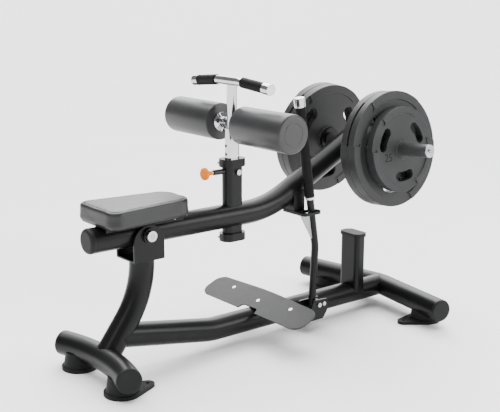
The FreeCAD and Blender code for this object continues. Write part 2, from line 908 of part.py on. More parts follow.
# The cover wraps down round the edge of the board
wrap_low = "seat_bottom - board_thickness"
seat = plate("seat", seat_outline("0"), f"seat_top - ({wrap_low})", "XY_Plane", wrap_low, both=False)
piece("seat_pad", cut("seat_over_board", seat, board))
seat_bolts = []
for number, (bolt_x, side) in enumerate([(x, s) for x in ("seat_bolt_rear", "seat_bolt_front") for s in ("-1", "1")]):
    bolt_at = (bolt_x, f"{side} * seat_bolt_y")
    head_low = "seat_bottom - board_thickness - saddle_plate - seat_bolt_head"
    head = cylinder(f"seat_head_{number}", "seat_bolt_radius + 3", "seat_bolt_head", (*bolt_at, head_low))
    shank_length = "seat_bolt_head + saddle_plate + board_thickness - 1"
    shank = cylinder(f"seat_shank_{number}", "seat_bolt_radius", shank_length, (*bolt_at, head_low))
    seat_bolts.append(fuse(f"seat_bolt_{number}", head, shank))
piece("seat_bolts", group("seat_bolt_set", *seat_bolts))
piece("seat_board", cut("board_cut", board, *seat_bolts))
SADDLE_TOP = "seat_bottom - board_thickness"
SADDLE_LENGTH = "saddle_front_x - saddle_rear_x"
saddle_block = block(
    "saddle_block",
    (SADDLE_LENGTH, "2 * saddle_half", f"{SADDLE_TOP} - saddle_low"),
    ("saddle_rear_x", "-saddle_half", "saddle_low"),
)
saddle_plate = block(
    "saddle_sheet",
    (SADDLE_LENGTH, "2 * saddle_plate_half", "saddle_plate"),
    ("saddle_rear_x", "-saddle_plate_half", f"{SADDLE_TOP} - saddle_plate"),
)
saddle_frame = fuse("saddle_frame", saddle_block, saddle_plate)
hub_room = across("hub_room", "hub_radius", "-hub_half", "2 * hub_half", "pivot_x", "pivot_z")
piece("seat_saddle", cut("saddle_cut", saddle_frame, arm_solid, hub_room, *seat_bolts))

# Post sleeve, its collars, jam bolt and pull pin

sleeve_pipe = hollow_post("sleeve_pipe", *SLEEVE, "sleeve_wall", "sleeve_low", "sleeve_high")
SLEEVE_REAR = "post_x - sleeve_half_x"
pin_way = along_x("pin_way", "pin_radius + pin_clear", f"{SLEEVE_REAR} - 1", "sleeve_wall + 4", "0", "pin_z")
jam_shank = across("jam_shank", "jam_radius", "-sleeve_half_y", "jam_reach", "jam_x", "jam_z")
jam_head = across("jam_head", "jam_head_radius", "-sleeve_half_y - jam_head_length", "jam_head_length", "jam_x", "jam_z")
piece("post_sleeve", cut("sleeve_cut", sleeve_pipe, pin_way, jam_shank))
piece("jam_bolt", fuse("jam", jam_shank, jam_head))
COLLAR = ("post_x", "collar_half_x", "collar_half_y", "collar_half_y - 4")
top_collar = hollow_post(
    "top_collar", *COLLAR, None, "sleeve_high - collar_height", "sleeve_high + collar_plate"
)
post_way = hollow_post(
    "post_way",
    "post_x",
    "post_half_x + post_gap",
    "post_half_y + post_gap",
    "post_round + post_gap",
    None,
    "sleeve_high - collar_height",
    "sleeve_high + collar_plate",
)
piece("sleeve_top_collar", cut("top_collar_cut", top_collar, sleeve_solid, post_way))
low_collar = hollow_post(
    "low_collar", *COLLAR, None, "sleeve_low - collar_plate", "sleeve_low + foot_collar_height"
)
piece("sleeve_bottom_collar", cut("low_collar_cut", low_collar, sleeve_solid))

barrel = along_x("barrel", "pin_barrel_radius", f"{SLEEVE_REAR} - pin_barrel_length", "pin_barrel_length", "0", "pin_z")
barrel_room = along_x(
    "barrel_room",
    "pin_barrel_radius - 2.5",
    f"{SLEEVE_REAR} - pin_barrel_length + 4",
    "pin_barrel_length - 4",
    "0",
    "pin_z",
)
barrel_bore = along_x(
    "barrel_bore", "pin_radius + pin_clear", f"{SLEEVE_REAR} - pin_barrel_length", "10", "0", "pin_z"
)
piece("pin_barrel", cut("barrel_cut", barrel, barrel_room, barrel_bore))
PIN_NOSE = "post_x - post_half_x - pin_travel_gap"
pin_bar = along_x("pin_bar", "pin_radius", "pin_knob_x", f"{PIN_NOSE} - pin_knob_x", "0", "pin_z")
pin_collar = along_x("pin_collar", "pin_barrel_radius - 3.5", f"{SLEEVE_REAR} - 8", "4", "0", "pin_z")
piece("pin_rod", fuse("pin_rod_body", pin_bar, pin_collar))
knob = turned(
    "knob",
    [
        ("pin_radius", "0"),
        ("pin_knob_neck", "0", "1.5"),
        ("pin_knob_neck", "pin_knob_length - pin_knob_head", "2"),
        ("pin_knob_radius", "pin_knob_length - pin_knob_head", "4"),
        ("pin_knob_radius", "pin_knob_length", "8"),
        ("0", "pin_knob_length"),
        ("0", "pin_knob_bore"),
        ("pin_radius", "pin_knob_bore"),
    ],
    ("pin_knob_x + pin_knob_bore", "0", "pin_z"),
    UP,
    "90",
    along="Y",
)
piece("pin_knob", knob)

# Weight horns: each leans up towards its free end


def along_horn(side, distance):
    """The point at a distance from the middle along one horn's axis."""
    return ("horn_x", f"{side} * ({distance}) * cos(horn_tilt)", f"horn_z + ({distance}) * sin(horn_tilt)")


def horn_cylinder(name, side, radius, start, length):
    return cylinder(name, radius, length, along_horn(side, start), X_AXIS, f"{side} * (horn_tilt - 90)")


# A shallow groove marks where the free part of each horn starts, beyond its three plates
GROOVE_START = "plate_start + 2 * plate_thick + small_thick + 3 * plate_space + 0.5"
horns, flanges, fittings = [], [], []
for word, side in SIDES:
    horn_bar = horn_cylinder(f"horn_bar_{word}", side, "horn_radius", "cross_half / 2", "horn_length - cross_half / 2")
    groove_at = (GROOVE_START, "horn_groove_wide")
    groove_disc = horn_cylinder(f"groove_disc_{word}", side, "horn_radius + 3", *groove_at)
    groove_core = horn_cylinder(f"groove_core_{word}", side, "horn_radius - horn_groove_deep", *groove_at)
    groove = cut(f"groove_{word}", groove_disc, groove_core)
    horns.append(cut(f"horn_{word}", horn_bar, cross_solid, groove))
    ring_start = "plate_start - flange_thickness"
    disc = horn_cylinder(f"flange_disc_{word}", side, "flange_radius", ring_start, "flange_thickness")
    core = horn_cylinder(f"flange_core_{word}", side, "horn_radius", ring_start, "flange_thickness")
    flanges.append(cut(f"flange_{word}", disc, core))
    fittings.append(horn_cylinder(f"end_washer_{word}", side, "horn_radius - 0.4", "horn_length", "4"))
    fittings.append(horn_cylinder(f"end_bolt_{word}", side, "9", "horn_length + 4", "6"))
piece("weight_horns", group("horns", *horns))
piece("horn_flanges", group("flanges", *flanges))
piece("horn_end_bolts", group("horn_ends", *fittings))


def grip_corners(radius):
    """Corners of a grip hole that bends round the plate's middle, centred on the sketch's X axis."""
    corners = []
    wide, end = f"grip_wide * {radius}", f"0.96 * grip_wide * {radius}"
    for reach, order in (("+", (-1, 0, 1)), ("-", (1, 0, -1))):
        curve = f"(grip_share * {radius} {reach} {wide})"
        for step in order:
            if step == 0:
                corners.append((f"{curve} / cos(grip_bend)", "0", curve))
            else:
                x = f"{curve} * cos(grip_bend) - grip_reach * {radius} * sin(grip_bend)"
                y = f"({step}) * ({curve} * sin(grip_bend) + grip_reach * {radius} * cos(grip_bend))"
                corners.append((x, y, end))
    return corners


def turned_sketch(body, name, turn, offset):
    """A sketch across the plate, turned about its axis, at a height along it."""
    sketch = sketch_on(body, name, "XY_Plane", offset)
    sketch.AttachmentOffset = Placement(sketch.AttachmentOffset.Base, Rotation(UP, value(turn)))
    bind(sketch, {"AttachmentOffset.Rotation.Angle": turn})
    return sketch


def weight_plate(name, side, start, radius, thick, turn):
    """A weight plate with a raised rim and hub and three grip holes, each with a lowered stretch of rim."""
    body = new_body(name)
    section = sketch_on(body, f"{name}_section")
    hub, rim = f"plate_hub_share * {radius}", f"plate_rim_share * {radius}"
    add_path(
        section,
        [
            ("plate_bore", "0"),
            (hub, "0"),
            (f"{hub} + 2", "plate_dish"),
            (f"{rim} - 2", "plate_dish"),
            (rim, "0"),
            (radius, "0", "3"),
            (radius, thick, "3"),
            (rim, thick),
            (f"{rim} - 2", f"{thick} - plate_dish"),
            (f"{hub} + 2", f"{thick} - plate_dish"),
            (hub, thick),
            ("plate_bore", thick),
        ],
    )
    revolve(body, section)
    DOC.recompute()
    opening = turned_sketch(body, f"{name}_opening", turn, "0")
    add_path(opening, grip_corners(radius))
    features = [extrude(body, opening, thick, "Pocket", reverse=True)]
    DOC.recompute()
    reach = f"1.2 * {radius}"
    low = f"0.8 * {radius}"
    for label, height, reverse in (("back", "0", True), ("front", thick, False)):
        lowered = turned_sketch(body, f"{name}_{label}", turn, height)
        add_path(
            lowered,
            [
                (low, f"-{low} * tan(rim_gap_angle)"),
                (reach, f"-{reach} * tan(rim_gap_angle)"),
                (reach, f"{reach} * tan(rim_gap_angle)"),
                (low, f"{low} * tan(rim_gap_angle)"),
            ],
        )
        features.append(extrude(body, lowered, "plate_dish + 0.1", "Pocket", reverse=reverse))
        DOC.recompute()
    pattern = body.newObject("PartDesign::PolarPattern", f"{name}_holes")
    pattern.Originals = features
    pattern.Axis = (next(f for f in body.Origin.OriginFeatures if f.Role == "Z_Axis"), [""])
    pattern.Angle = 360
    pattern.Occurrences = 3
    body.Tip = pattern
    return place(body, along_horn(side, start), X_AXIS, f"{side} * (horn_tilt - 90)")


FIRST = "plate_start + plate_space"
SECOND = f"{FIRST} + plate_thick + plate_space"
THIRD = f"{SECOND} + plate_thick + plate_space"
BIG = ("plate_radius", "plate_thick")
SMALL = ("small_radius", "small_thick")
for word, side in SIDES:
    turn = "plate_turn" if word == "right" else "-plate_turn"
    small_turn = "small_turn" if word == "right" else "-small_turn"
    piece(f"plate_{word}_inner", weight_plate(f"inner_{word}", side, FIRST, *BIG, turn))
    piece(f"plate_{word}_middle", weight_plate(f"middle_{word}", side, SECOND, *BIG, turn))
    piece(f"plate_{word}_outer", weight_plate(f"outer_{word}", side, THIRD, *SMALL, small_turn))

# Knee post with stem, axle, handle and rollers

post = new_body("post")
post_section = sketch_on(post, "post_section", "XY_Plane", "post_low")
add_path(post_section, rounded("post_x", "0", "post_half_x", "post_half_y", "post_round"))
post_inside = ("post_half_x - post_wall", "post_half_y - post_wall", "post_round - post_wall")
add_path(post_section, rounded("post_x", "0", *post_inside))
extrude(post, post_section, "post_high - post_low")
DOC.recompute()
hole_sketch = sketch_on(post, "post_hole", "YZ_Plane", "post_x - post_half_x - 1")
add_circle(hole_sketch, ("0", "hole_first_z"), "hole_radius")
first_hole = extrude(post, hole_sketch, "post_wall + 4", "Pocket", reverse=True)
hole_row = post.newObject("PartDesign::LinearPattern", "post_holes")
hole_row.Originals = [first_hole]
hole_row.Direction = (hole_sketch, ["V_Axis"])
hole_row.Reversed = True
bind(hole_row, {"Length": "hole_pitch * (hole_count - 1)", "Occurrences": "hole_count"})
post.Tip = hole_row
piece("knee_post", post)

handle_x = "post_x + handle_shift"
handle = new_body("handle")
handle_ring = sketch_on(handle, "handle_ring", "XZ_Plane")
add_circle(handle_ring, ("0", "0"), "handle_radius")
handle_spine = sketch_on(handle, "handle_spine", "YZ_Plane")
LEG_END = "handle_half - handle_cap_length"
add_path(
    handle_spine,
    [
        ("0", "0"),
        ("handle_middle", "0", "handle_bend"),
        (LEG_END, f"-({LEG_END} - handle_middle) * tan(handle_droop)"),
    ],
    closed=False,
)
handle_sweep = sweep(handle, "handle_sweep", handle_ring, handle_spine)
handle_mirror = handle.newObject("PartDesign::Mirrored", "handle_mirror")
handle_mirror.Originals = [handle_sweep]
handle_mirror.MirrorPlane = (plane_of(handle, "XZ_Plane"), [""])
handle.Tip = handle_mirror


def on_handle(obj):
    """Turns obj so that the handle's ends reach down and forward."""
    return place(obj, (handle_x, "0", "handle_z"), Y_AXIS, "-handle_sweep")


piece("handle_bar", on_handle(handle))


def handle_cylinder(name, side, radius, start, length):
    """A cylinder on one drooping leg of the handle; start is its Y distance from the middle."""
    at = ("0", f"{side} * ({start})", f"-(({start}) - handle_middle) * tan(handle_droop)")
    return cylinder(name, radius, length, at, X_AXIS, f"{side} * (-90 - handle_droop)")


grips, handle_ends = [], []
for word, side in SIDES:
    sleeve_size = ("grip_start", "(grip_end - grip_start) / cos(handle_droop)")
    grip_outer = handle_cylinder(f"grip_outer_{word}", side, "grip_radius", *sleeve_size)
    grip_core = handle_cylinder(f"grip_core_{word}", side, "handle_radius", *sleeve_size)
    grips.append(cut(f"grip_{word}", grip_outer, grip_core))
    end_size = (LEG_END, "handle_cap_length / cos(handle_droop)")
    handle_ends.append(handle_cylinder(f"handle_end_{word}", side, "handle_cap_radius", *end_size))
piece("handle_grips", on_handle(group("grips", *grips)))
piece("handle_end_caps", on_handle(group("handle_ends", *handle_ends)))

axle_reach = "roller_outer_y - roller_edge - 2"
roller_bar = across("roller_bar", "roller_axle_radius", f"-({axle_reach})", f"2 * ({axle_reach})", "post_x", "roller_z")
piece("roller_axle", roller_bar)
stem_bar = cylinder("stem_bar", "stem_radius", "handle_z - post_high", ("post_x", "0", "post_high"))
stem_foot = hollow_post(
    "stem_foot", "post_x", "post_half_x", "post_half_y + 4", "post_round", None, "post_high", "post_high + 4"
)
handle_tool = across("handle_tool", "handle_radius", "-stem_radius", "2 * stem_radius", handle_x, "handle_z")
piece("handle_stem", cut("stem_cut", fuse("stem", stem_bar, stem_foot), roller_bar, handle_tool))

for word, side in SIDES:
    turn = "90" if word == "right" else "-90"
    hub_corners = [
        ("roller_axle_radius + running_gap", "roller_hub_y"),
        ("roller_core_radius", "roller_hub_y"),
        ("roller_core_radius", "roller_inner_y - 16"),
        ("roller_hub_radius", "roller_inner_y - 8"),
        ("roller_hub_radius", "roller_inner_y"),
        ("roller_core_radius", "roller_inner_y"),
        ("roller_core_radius", axle_reach),
        ("roller_axle_radius + running_gap", axle_reach),
    ]
    pad_corners = [
        ("roller_core_radius", "roller_inner_y"),
        ("roller_radius", "roller_inner_y", "roller_edge"),
        ("roller_radius", "roller_outer_y", "roller_edge"),
        ("0", "roller_outer_y"),
        ("0", f"{axle_reach} + 1"),
        ("roller_core_radius", f"{axle_reach} + 1"),
    ]
    at = ("post_x", "0", "roller_z")
    piece(f"roller_core_{word}", turned(f"core_{word}", hub_corners, at, X_AXIS, turn))
    piece(f"roller_pad_{word}", turned(f"pad_{word}", pad_corners, at, X_AXIS, turn))

# Catch: a slotted plate under the arm that rests on the lever's catch

catch_block = plate(
    "catch_block",
    [
        ("catch_rear_x + 3", "catch_z + catch_thick"),
        ("catch_block_front", "catch_z + catch_thick"),
        ("catch_block_front", "catch_z + catch_rise"),
        ("catch_rear_x + 3", "catch_z + catch_rise"),
    ],
    "catch_block_out + catch_block_in",
    "XZ_Plane",
    "(catch_block_out - catch_block_in) / 2",
)
piece("catch_bracket", cut("catch_block_cut", catch_block, arm_solid))
LOOP_OUT = "slot_half + loop_wall"
loop = new_body("loop")
loop_outline = sketch_on(loop, "loop_outline", "XY_Plane", "catch_z")
add_path(
    loop_outline,
    [
        ("catch_rear_x", "catch_block_in"),
        ("catch_rear_x", f"lever_y - ({LOOP_OUT})", "14"),
        ("slot_front_x + loop_wall", f"lever_y - ({LOOP_OUT})", LOOP_OUT + " - 0.5"),
        ("slot_front_x + loop_wall", f"lever_y + ({LOOP_OUT})", LOOP_OUT + " - 0.5"),
        ("catch_block_front", f"lever_y + ({LOOP_OUT})"),
        ("catch_block_front", "catch_block_in"),
    ],
)
SLOT_MIDDLE = "(slot_front_x + slot_rear_x) / 2"
SLOT_HALF_X = "(slot_front_x - slot_rear_x) / 2"
add_path(loop_outline, rounded(SLOT_MIDDLE, "lever_y", SLOT_HALF_X, "slot_half", "slot_half - 0.5"))
extrude(loop, loop_outline, "catch_thick")
piece("catch_loop", loop)

# Catch lever on its bracket beside the base tube

LOWER_TOP = ("lever_x + lever_lower * sin(lever_lean)", "lever_z + lever_lower * cos(lever_lean)")
UPPER_LEAN = "lever_lean - lever_turn"


def on_lever(distance):
    """A point on the lever's upper leg, as (x, y, z)."""
    return (
        f"{LOWER_TOP[0]} + ({distance}) * sin({UPPER_LEAN})",
        "lever_y",
        f"{LOWER_TOP[1]} + ({distance}) * cos({UPPER_LEAN})",
    )


TUBE_TOP = "lever_upper - lever_cap"
LEVER_PATH = [
    ("0", "0"),
    ("0", "lever_lower", "lever_bend"),
    (f"-({TUBE_TOP}) * sin(lever_turn)", f"lever_lower + ({TUBE_TOP}) * cos(lever_turn)"),
]


def lever_pipe(name, wall):
    body = bent_tube(name, LEVER_PATH, "XY_Plane", "lever_radius", wall)
    return place(body, ("lever_x", "lever_y", "lever_z"), Y_AXIS, "lever_lean")


def at_lever_pivot(name, radius, start_y, length):
    return across(name, radius, start_y, length, "lever_pin_x", "lever_pin_z")


lever_solid = lever_pipe("lever_filled", None)
EYE = ("lever_y - lever_eye_half", "2 * lever_eye_half")
eye = at_lever_pivot("eye", "lever_eye_radius", *EYE)
eye_bore = at_lever_pivot("eye_bore", "lever_bolt_radius + running_gap", *EYE)
lever_frame = fuse("lever_frame", cut("lever_shank", lever_pipe("lever_pipe", "lever_wall"), eye), eye)
piece("lever_tube", cut("lever_cut", lever_frame, eye_bore))
catch_tooth = plate(
    "catch_tooth",
    [
        ("slot_rear_x - tooth_reach", "catch_z - tooth_gap - tooth_drop"),
        ("slot_rear_x", "catch_z - tooth_gap"),
        (on_lever("134")[0], "catch_z - tooth_gap"),
        LOWER_TOP,
    ],
    "tooth_thick",
    "XZ_Plane",
    "-lever_y",
)
piece("lever_catch", cut("tooth_cut", catch_tooth, lever_solid))


def lever_cylinder(name, radius, start, length):
    return cylinder(name, radius, length, on_lever(start), Y_AXIS, UPPER_LEAN)


GRIP_SPAN = ("lever_grip_start + lever_ring", f"{TUBE_TOP} - lever_grip_start - lever_ring")
grip_outer = lever_cylinder("lever_grip_outer", "lever_grip_radius", *GRIP_SPAN)
grip_core = lever_cylinder("lever_grip_core", "lever_radius", *GRIP_SPAN)
piece("lever_grip", cut("lever_grip_cut", grip_outer, grip_core))
RING_SPAN = ("lever_grip_start", "lever_ring")
ring_outer = lever_cylinder("lever_ring_outer", "lever_grip_radius - 1.5", *RING_SPAN)
ring_core = lever_cylinder("lever_ring_core", "lever_radius", *RING_SPAN)
lever_ring = cut("lever_ring_cut", ring_outer, ring_core)
lever_cap = turned(
    "lever_cap_body",
    [
        ("0", "0"),
        ("lever_cap_radius - 1", "0"),
        ("lever_cap_radius", "4"),
        ("lever_cap_radius", "lever_cap", "3"),
        ("0", "lever_cap"),
    ],
    on_lever(TUBE_TOP),
    Y_AXIS,
    UPPER_LEAN,
)
piece("lever_trim", group("lever_trim_set", lever_cap, lever_ring))

INNER_EAR = "lever_y + lever_eye_half + ear_gap"
OUTER_EAR = "lever_y - lever_eye_half - ear_gap - ear_plate"
inner_ear = plate(
    "inner_ear",
    [
        ("ear_rear_x", "ear_low"),
        ("ear_front_x - 26", "ear_low", "8"),
        ("ear_front_x - 4", "ear_low + 29", "12"),
        ("ear_front_x", "ear_high - 4", "10"),
        ("ear_rear_x + 8", "ear_high - 4", "12"),
    ],
    "ear_plate",
    "XZ_Plane",
    f"-({INNER_EAR}) - ear_plate",
    both=False,
)
outer_ear = plate(
    "outer_ear",
    [
        ("ear_rear_x", "ear_low"),
        ("ear_front_x - 26", "ear_low", "8"),
        ("ear_front_x - 4", "ear_low + 29", "12"),
        ("ear_front_x", "ear_high - 2", "10"),
        ("ear_left_x + 14", "ear_high + 3", "8"),
        ("ear_left_x", "ear_high - 28", "20"),
        ("ear_rear_x", "ear_high - 58", "6"),
    ],
    "ear_plate",
    "XZ_Plane",
    f"-({OUTER_EAR}) - ear_plate",
    both=False,
)
ear_web = block(
    "ear_web",
    ("ear_front_x - ear_rear_x - 34", "2 * (lever_eye_half + ear_gap)", "ear_web"),
    ("ear_rear_x", f"{OUTER_EAR} + ear_plate", "ear_low"),
)
ear_lug = block(
    "ear_lug",
    ("ear_lug_length", f"-({INNER_EAR}) - ear_plate", "ear_lug_height"),
    ("ear_lug_rear_x", f"{INNER_EAR} + ear_plate", "bar_height - ear_lug_height / 2"),
)
BOLT_SPAN = "2 * (lever_eye_half + ear_gap + ear_plate)"
bolt_shank = at_lever_pivot("bolt_shank", "lever_bolt_radius", OUTER_EAR, BOLT_SPAN)
bolt_head = at_lever_pivot("bolt_head", "lever_bolt_radius + 3", f"{OUTER_EAR} - 5", "5")
bolt_nut = at_lever_pivot("bolt_nut", "lever_bolt_radius + 3", f"{OUTER_EAR} + {BOLT_SPAN}", "5")
stay_shank = across("stay_shank", "stay_bolt_radius", OUTER_EAR, BOLT_SPAN, "stay_bolt_x", "stay_bolt_z")
stay_head = across("stay_head", "lever_bolt_radius + 2", f"{OUTER_EAR} - 4", "4", "stay_bolt_x", "stay_bolt_z")
bracket_tools = (base_solid, bolt_shank, bolt_nut, stay_shank)
piece("lever_bracket", cut("ear_cut", fuse("ear_frame", inner_ear, outer_ear, ear_web, ear_lug), *bracket_tools))
piece("lever_pivot_bolt", fuse("lever_bolt", bolt_shank, bolt_head, bolt_nut))
piece("lever_stay_bolt", fuse("stay_bolt", stay_shank, stay_head))

# Check the document and write one file for each sub-part

DOC.recompute()
failed = [obj.Label for obj in DOC.Objects if "Invalid" in obj.State or "Error" in obj.State]
if failed:
    raise RuntimeError(f"these objects did not recompute: {failed}")
for obj in PIECES:
    if obj.Shape.isNull() or not obj.Shape.isValid() or not obj.Shape.Solids:
        raise RuntimeError(f"{obj.Label} has no valid solid")
os.makedirs("parts", exist_ok=True)
for obj in PIECES:
    obj.Shape.exportStep(f"parts/{obj.Label}.step")
    box = obj.Shape.BoundBox
    print(
        f"{obj.Label}: {len(obj.Shape.Solids)} solid(s), {obj.Shape.Volume / 1000:.1f} cm3,"
        f" x {box.XMin:.1f}..{box.XMax:.1f} y {box.YMin:.1f}..{box.YMax:.1f} z {box.ZMin:.1f}..{box.ZMax:.1f}"
    )
print(f"{len(PIECES)} sub-parts")
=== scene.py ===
import logging
import math
from dataclasses import dataclass
from enum import Enum
from typing import Callable, Dict, List, Optional, Sequence, Tuple

import bpy
from mathutils import Matrix, Vector
from mathutils.kdtree import KDTree


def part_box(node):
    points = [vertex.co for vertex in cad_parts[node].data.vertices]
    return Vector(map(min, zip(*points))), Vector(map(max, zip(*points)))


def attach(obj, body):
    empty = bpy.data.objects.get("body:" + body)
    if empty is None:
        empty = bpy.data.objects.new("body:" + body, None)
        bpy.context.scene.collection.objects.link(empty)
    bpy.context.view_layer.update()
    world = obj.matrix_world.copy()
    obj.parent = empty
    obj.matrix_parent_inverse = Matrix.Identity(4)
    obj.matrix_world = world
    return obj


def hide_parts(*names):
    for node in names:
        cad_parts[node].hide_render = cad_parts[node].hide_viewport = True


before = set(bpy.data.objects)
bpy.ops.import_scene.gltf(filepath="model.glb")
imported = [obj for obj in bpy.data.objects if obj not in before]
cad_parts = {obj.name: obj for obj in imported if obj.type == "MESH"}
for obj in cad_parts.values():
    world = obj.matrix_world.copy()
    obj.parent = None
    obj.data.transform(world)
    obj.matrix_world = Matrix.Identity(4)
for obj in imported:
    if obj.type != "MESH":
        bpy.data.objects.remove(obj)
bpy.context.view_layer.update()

LOG = logging.getLogger("calf_raise")
Point = Tuple[float, float, float]
Colour = Tuple[float, float, float]
Socket = bpy.types.NodeSocket

# Faces this close to a direction count as facing it, as the cosine of the angle
FACING = 0.9
# Two points nearer than this are on the same level, in metres
LEVEL = 1e-4
# Two points nearer than this are in the same place along an outline, in metres
NEAR = 1e-3
# The horns lean up towards their free ends, in degrees, from this height in metres
HORN_LEAN = 4.96
HORN_HEIGHT = 0.6953


class Side(Enum):
    """The two sides of the machine, with the sign of Y on each."""

    RIGHT = -1
    LEFT = 1

    @property
    def word(self) -> str:
        """The side's name as the CAD nodes spell it."""
        return self.name.lower()


class Grain(Enum):
    """What the fine bumps of a surface look like."""

    ORANGE_PEEL = "orange peel"
    LEATHER = "leather"
    CAST = "cast"
    BRUSHED = "brushed"
    RIBBED = "ribbed"
    PLY = "ply"


# ---------------------------------------------------------------- finishes


class NodeBench:
    """Lays out and joins the shader nodes of one material."""

    def __init__(self, name: str) -> None:
        """Starts an empty material with a Principled shader.

        Args:
            name: the material's name.
        """
        self.material = bpy.data.materials.new(name)
        self.material.use_nodes = True
        self.tree = self.material.node_tree
        self.shader = self.tree.nodes["Principled BSDF"]
        self.place = self.tree.nodes.new("ShaderNodeTexCoord").outputs["Object"]

    def node(self, kind: str, inputs: Optional[Dict[str, object]] = None,
             **settings: object) -> bpy.types.Node:
        """Adds a node, sets it up and joins what is given to its sockets.

        Args:
            kind: the node's type name.
            inputs: socket name to a number, a colour or another node's output.
            **settings: the node's own properties.

        Returns:
            The new node.
        """
        made = self.tree.nodes.new(kind)
        for key, value in settings.items():
            setattr(made, key, value)
        for key, value in (inputs or {}).items():
            socket = made.inputs[int(key) if key.isdigit() else key]
            if isinstance(value, Socket):
                self.tree.links.new(value, socket)
            else:
                socket.default_value = value
        return made

    def stretch(self, scale: Point) -> Socket:
        """The object's own coordinates, scaled apart along each axis.

        Args:
            scale: the scale along X, Y and Z.

        Returns:
            The mapped coordinates.
        """
        return self.node("ShaderNodeMapping", {"Vector": self.place, "Scale": scale}).outputs["Vector"]

    def noise(self, scale: float, detail: float = 3.0,
              vector: Optional[Socket] = None) -> Socket:
        """A cloudy pattern.

        Args:
            scale: how many clouds fit in a metre.
            detail: how much finer pattern is laid over it.
            vector: the coordinates, or the object's own when left out.

        Returns:
            The pattern's factor.
        """
        inputs = {"Vector": vector or self.place, "Scale": scale, "Detail": detail}
        return self.node("ShaderNodeTexNoise", inputs).outputs["Fac"]

    def cells(self, scale: float, smooth: float = 0.35) -> Socket:
        """A pattern of small rounded cells, as on grained vinyl.

        Args:
            scale: how many cells fit in a metre.
            smooth: how much the cells run into each other.

        Returns:
            The distance from each cell's middle.
        """
        inputs = {"Vector": self.place, "Scale": scale, "Smoothness": smooth}
        return self.node("ShaderNodeTexVoronoi", inputs, feature="SMOOTH_F1").outputs["Distance"]

    def spread(self, value: Socket, low: float, high: float,
               start: float = 0.3, end: float = 0.7) -> Socket:
        """Turns a pattern into another range of values.

        Args:
            value: the pattern.
            low: what start becomes.
            high: what end becomes.
            start: where the range starts.
            end: where the range ends.

        Returns:
            The value in its new range.
        """
        inputs = {"Value": value, "From Min": start, "From Max": end, "To Min": low, "To Max": high}
        return self.node("ShaderNodeMapRange", inputs).outputs["Result"]

    def tint(self, factor: Socket, first: object, second: object) -> Socket:
        """Mixes two colours by a pattern.

        Args:
            factor: 0 gives the first colour and 1 the second.
            first: a colour, or a socket that gives one.
            second: a colour, or a socket that gives one.

        Returns:
            The mixed colour.
        """
        mix = self.node("ShaderNodeMix", data_type="RGBA")
        self.tree.links.new(factor, mix.inputs["Factor"])
        for socket, value in ((mix.inputs[6], first), (mix.inputs[7], second)):
            if isinstance(value, Socket):
                self.tree.links.new(value, socket)
            else:
                socket.default_value = (*value, 1.0)
        return mix.outputs[2]

    def edges(self, radius: float) -> Tuple[Socket, Socket]:
        """Finds the edges of a piece, for rubbed paint with a painted highlight along the edges, and for a
        softened look.

        Args:
            radius: how far from an edge the softening reaches, in metres.

        Returns:
            The softened normal, and a mask that is 1 on the edges.
        """
        soft = self.node("ShaderNodeBevel", {"Radius": radius}, samples=6).outputs["Normal"]
        face = self.node("ShaderNodeNewGeometry").outputs["Normal"]
        pair = {"0": soft, "1": face}
        dot = self.node("ShaderNodeVectorMath", pair, operation="DOT_PRODUCT").outputs["Value"]
        return soft, self.spread(dot, low=1.0, high=0.0, start=0.80, end=0.99)

    def times(self, first: Socket, second: object) -> Socket:
        """One value times another.

        Args:
            first: a socket that gives a value.
            second: a value, or a socket that gives one.

        Returns:
            The product.
        """
        pair = {"0": first, "1": second}
        return self.node("ShaderNodeMath", pair, operation="MULTIPLY").outputs[0]

    def bump(self, height: Socket, depth: float, strength: float,
             normal: Optional[Socket] = None) -> Socket:
        """Raises a pattern off the surface.

        Args:
            height: the pattern.
            depth: how deep it is, in metres.
            strength: how much of it shows.
            normal: the normal that it is laid over.

        Returns:
            The bumped normal.
        """
        inputs = {"Height": height, "Distance": depth, "Strength": strength}
        if normal is not None:
            inputs["Normal"] = normal
        return self.node("ShaderNodeBump", inputs).outputs["Normal"]

    def plug(self, **sockets: object) -> bpy.types.Material:
        """Joins the results to the shader.

        Args:
            **sockets: the shader's socket names with _ for a space, and what goes in.

        Returns:
            The finished material.
        """
        for key, value in sockets.items():
            socket = self.shader.inputs[key.replace("_", " ")]
            if isinstance(value, Socket):
                self.tree.links.new(value, socket)
            else:
                socket.default_value = value
        return self.material


# How much finer than the mottling the patches of rubbed paint and painted edge highlight, and the changes
# of gloss, are
SCUFF_AND_HIGHLIGHT_FINER = 14
GLOSS_FINER = 31


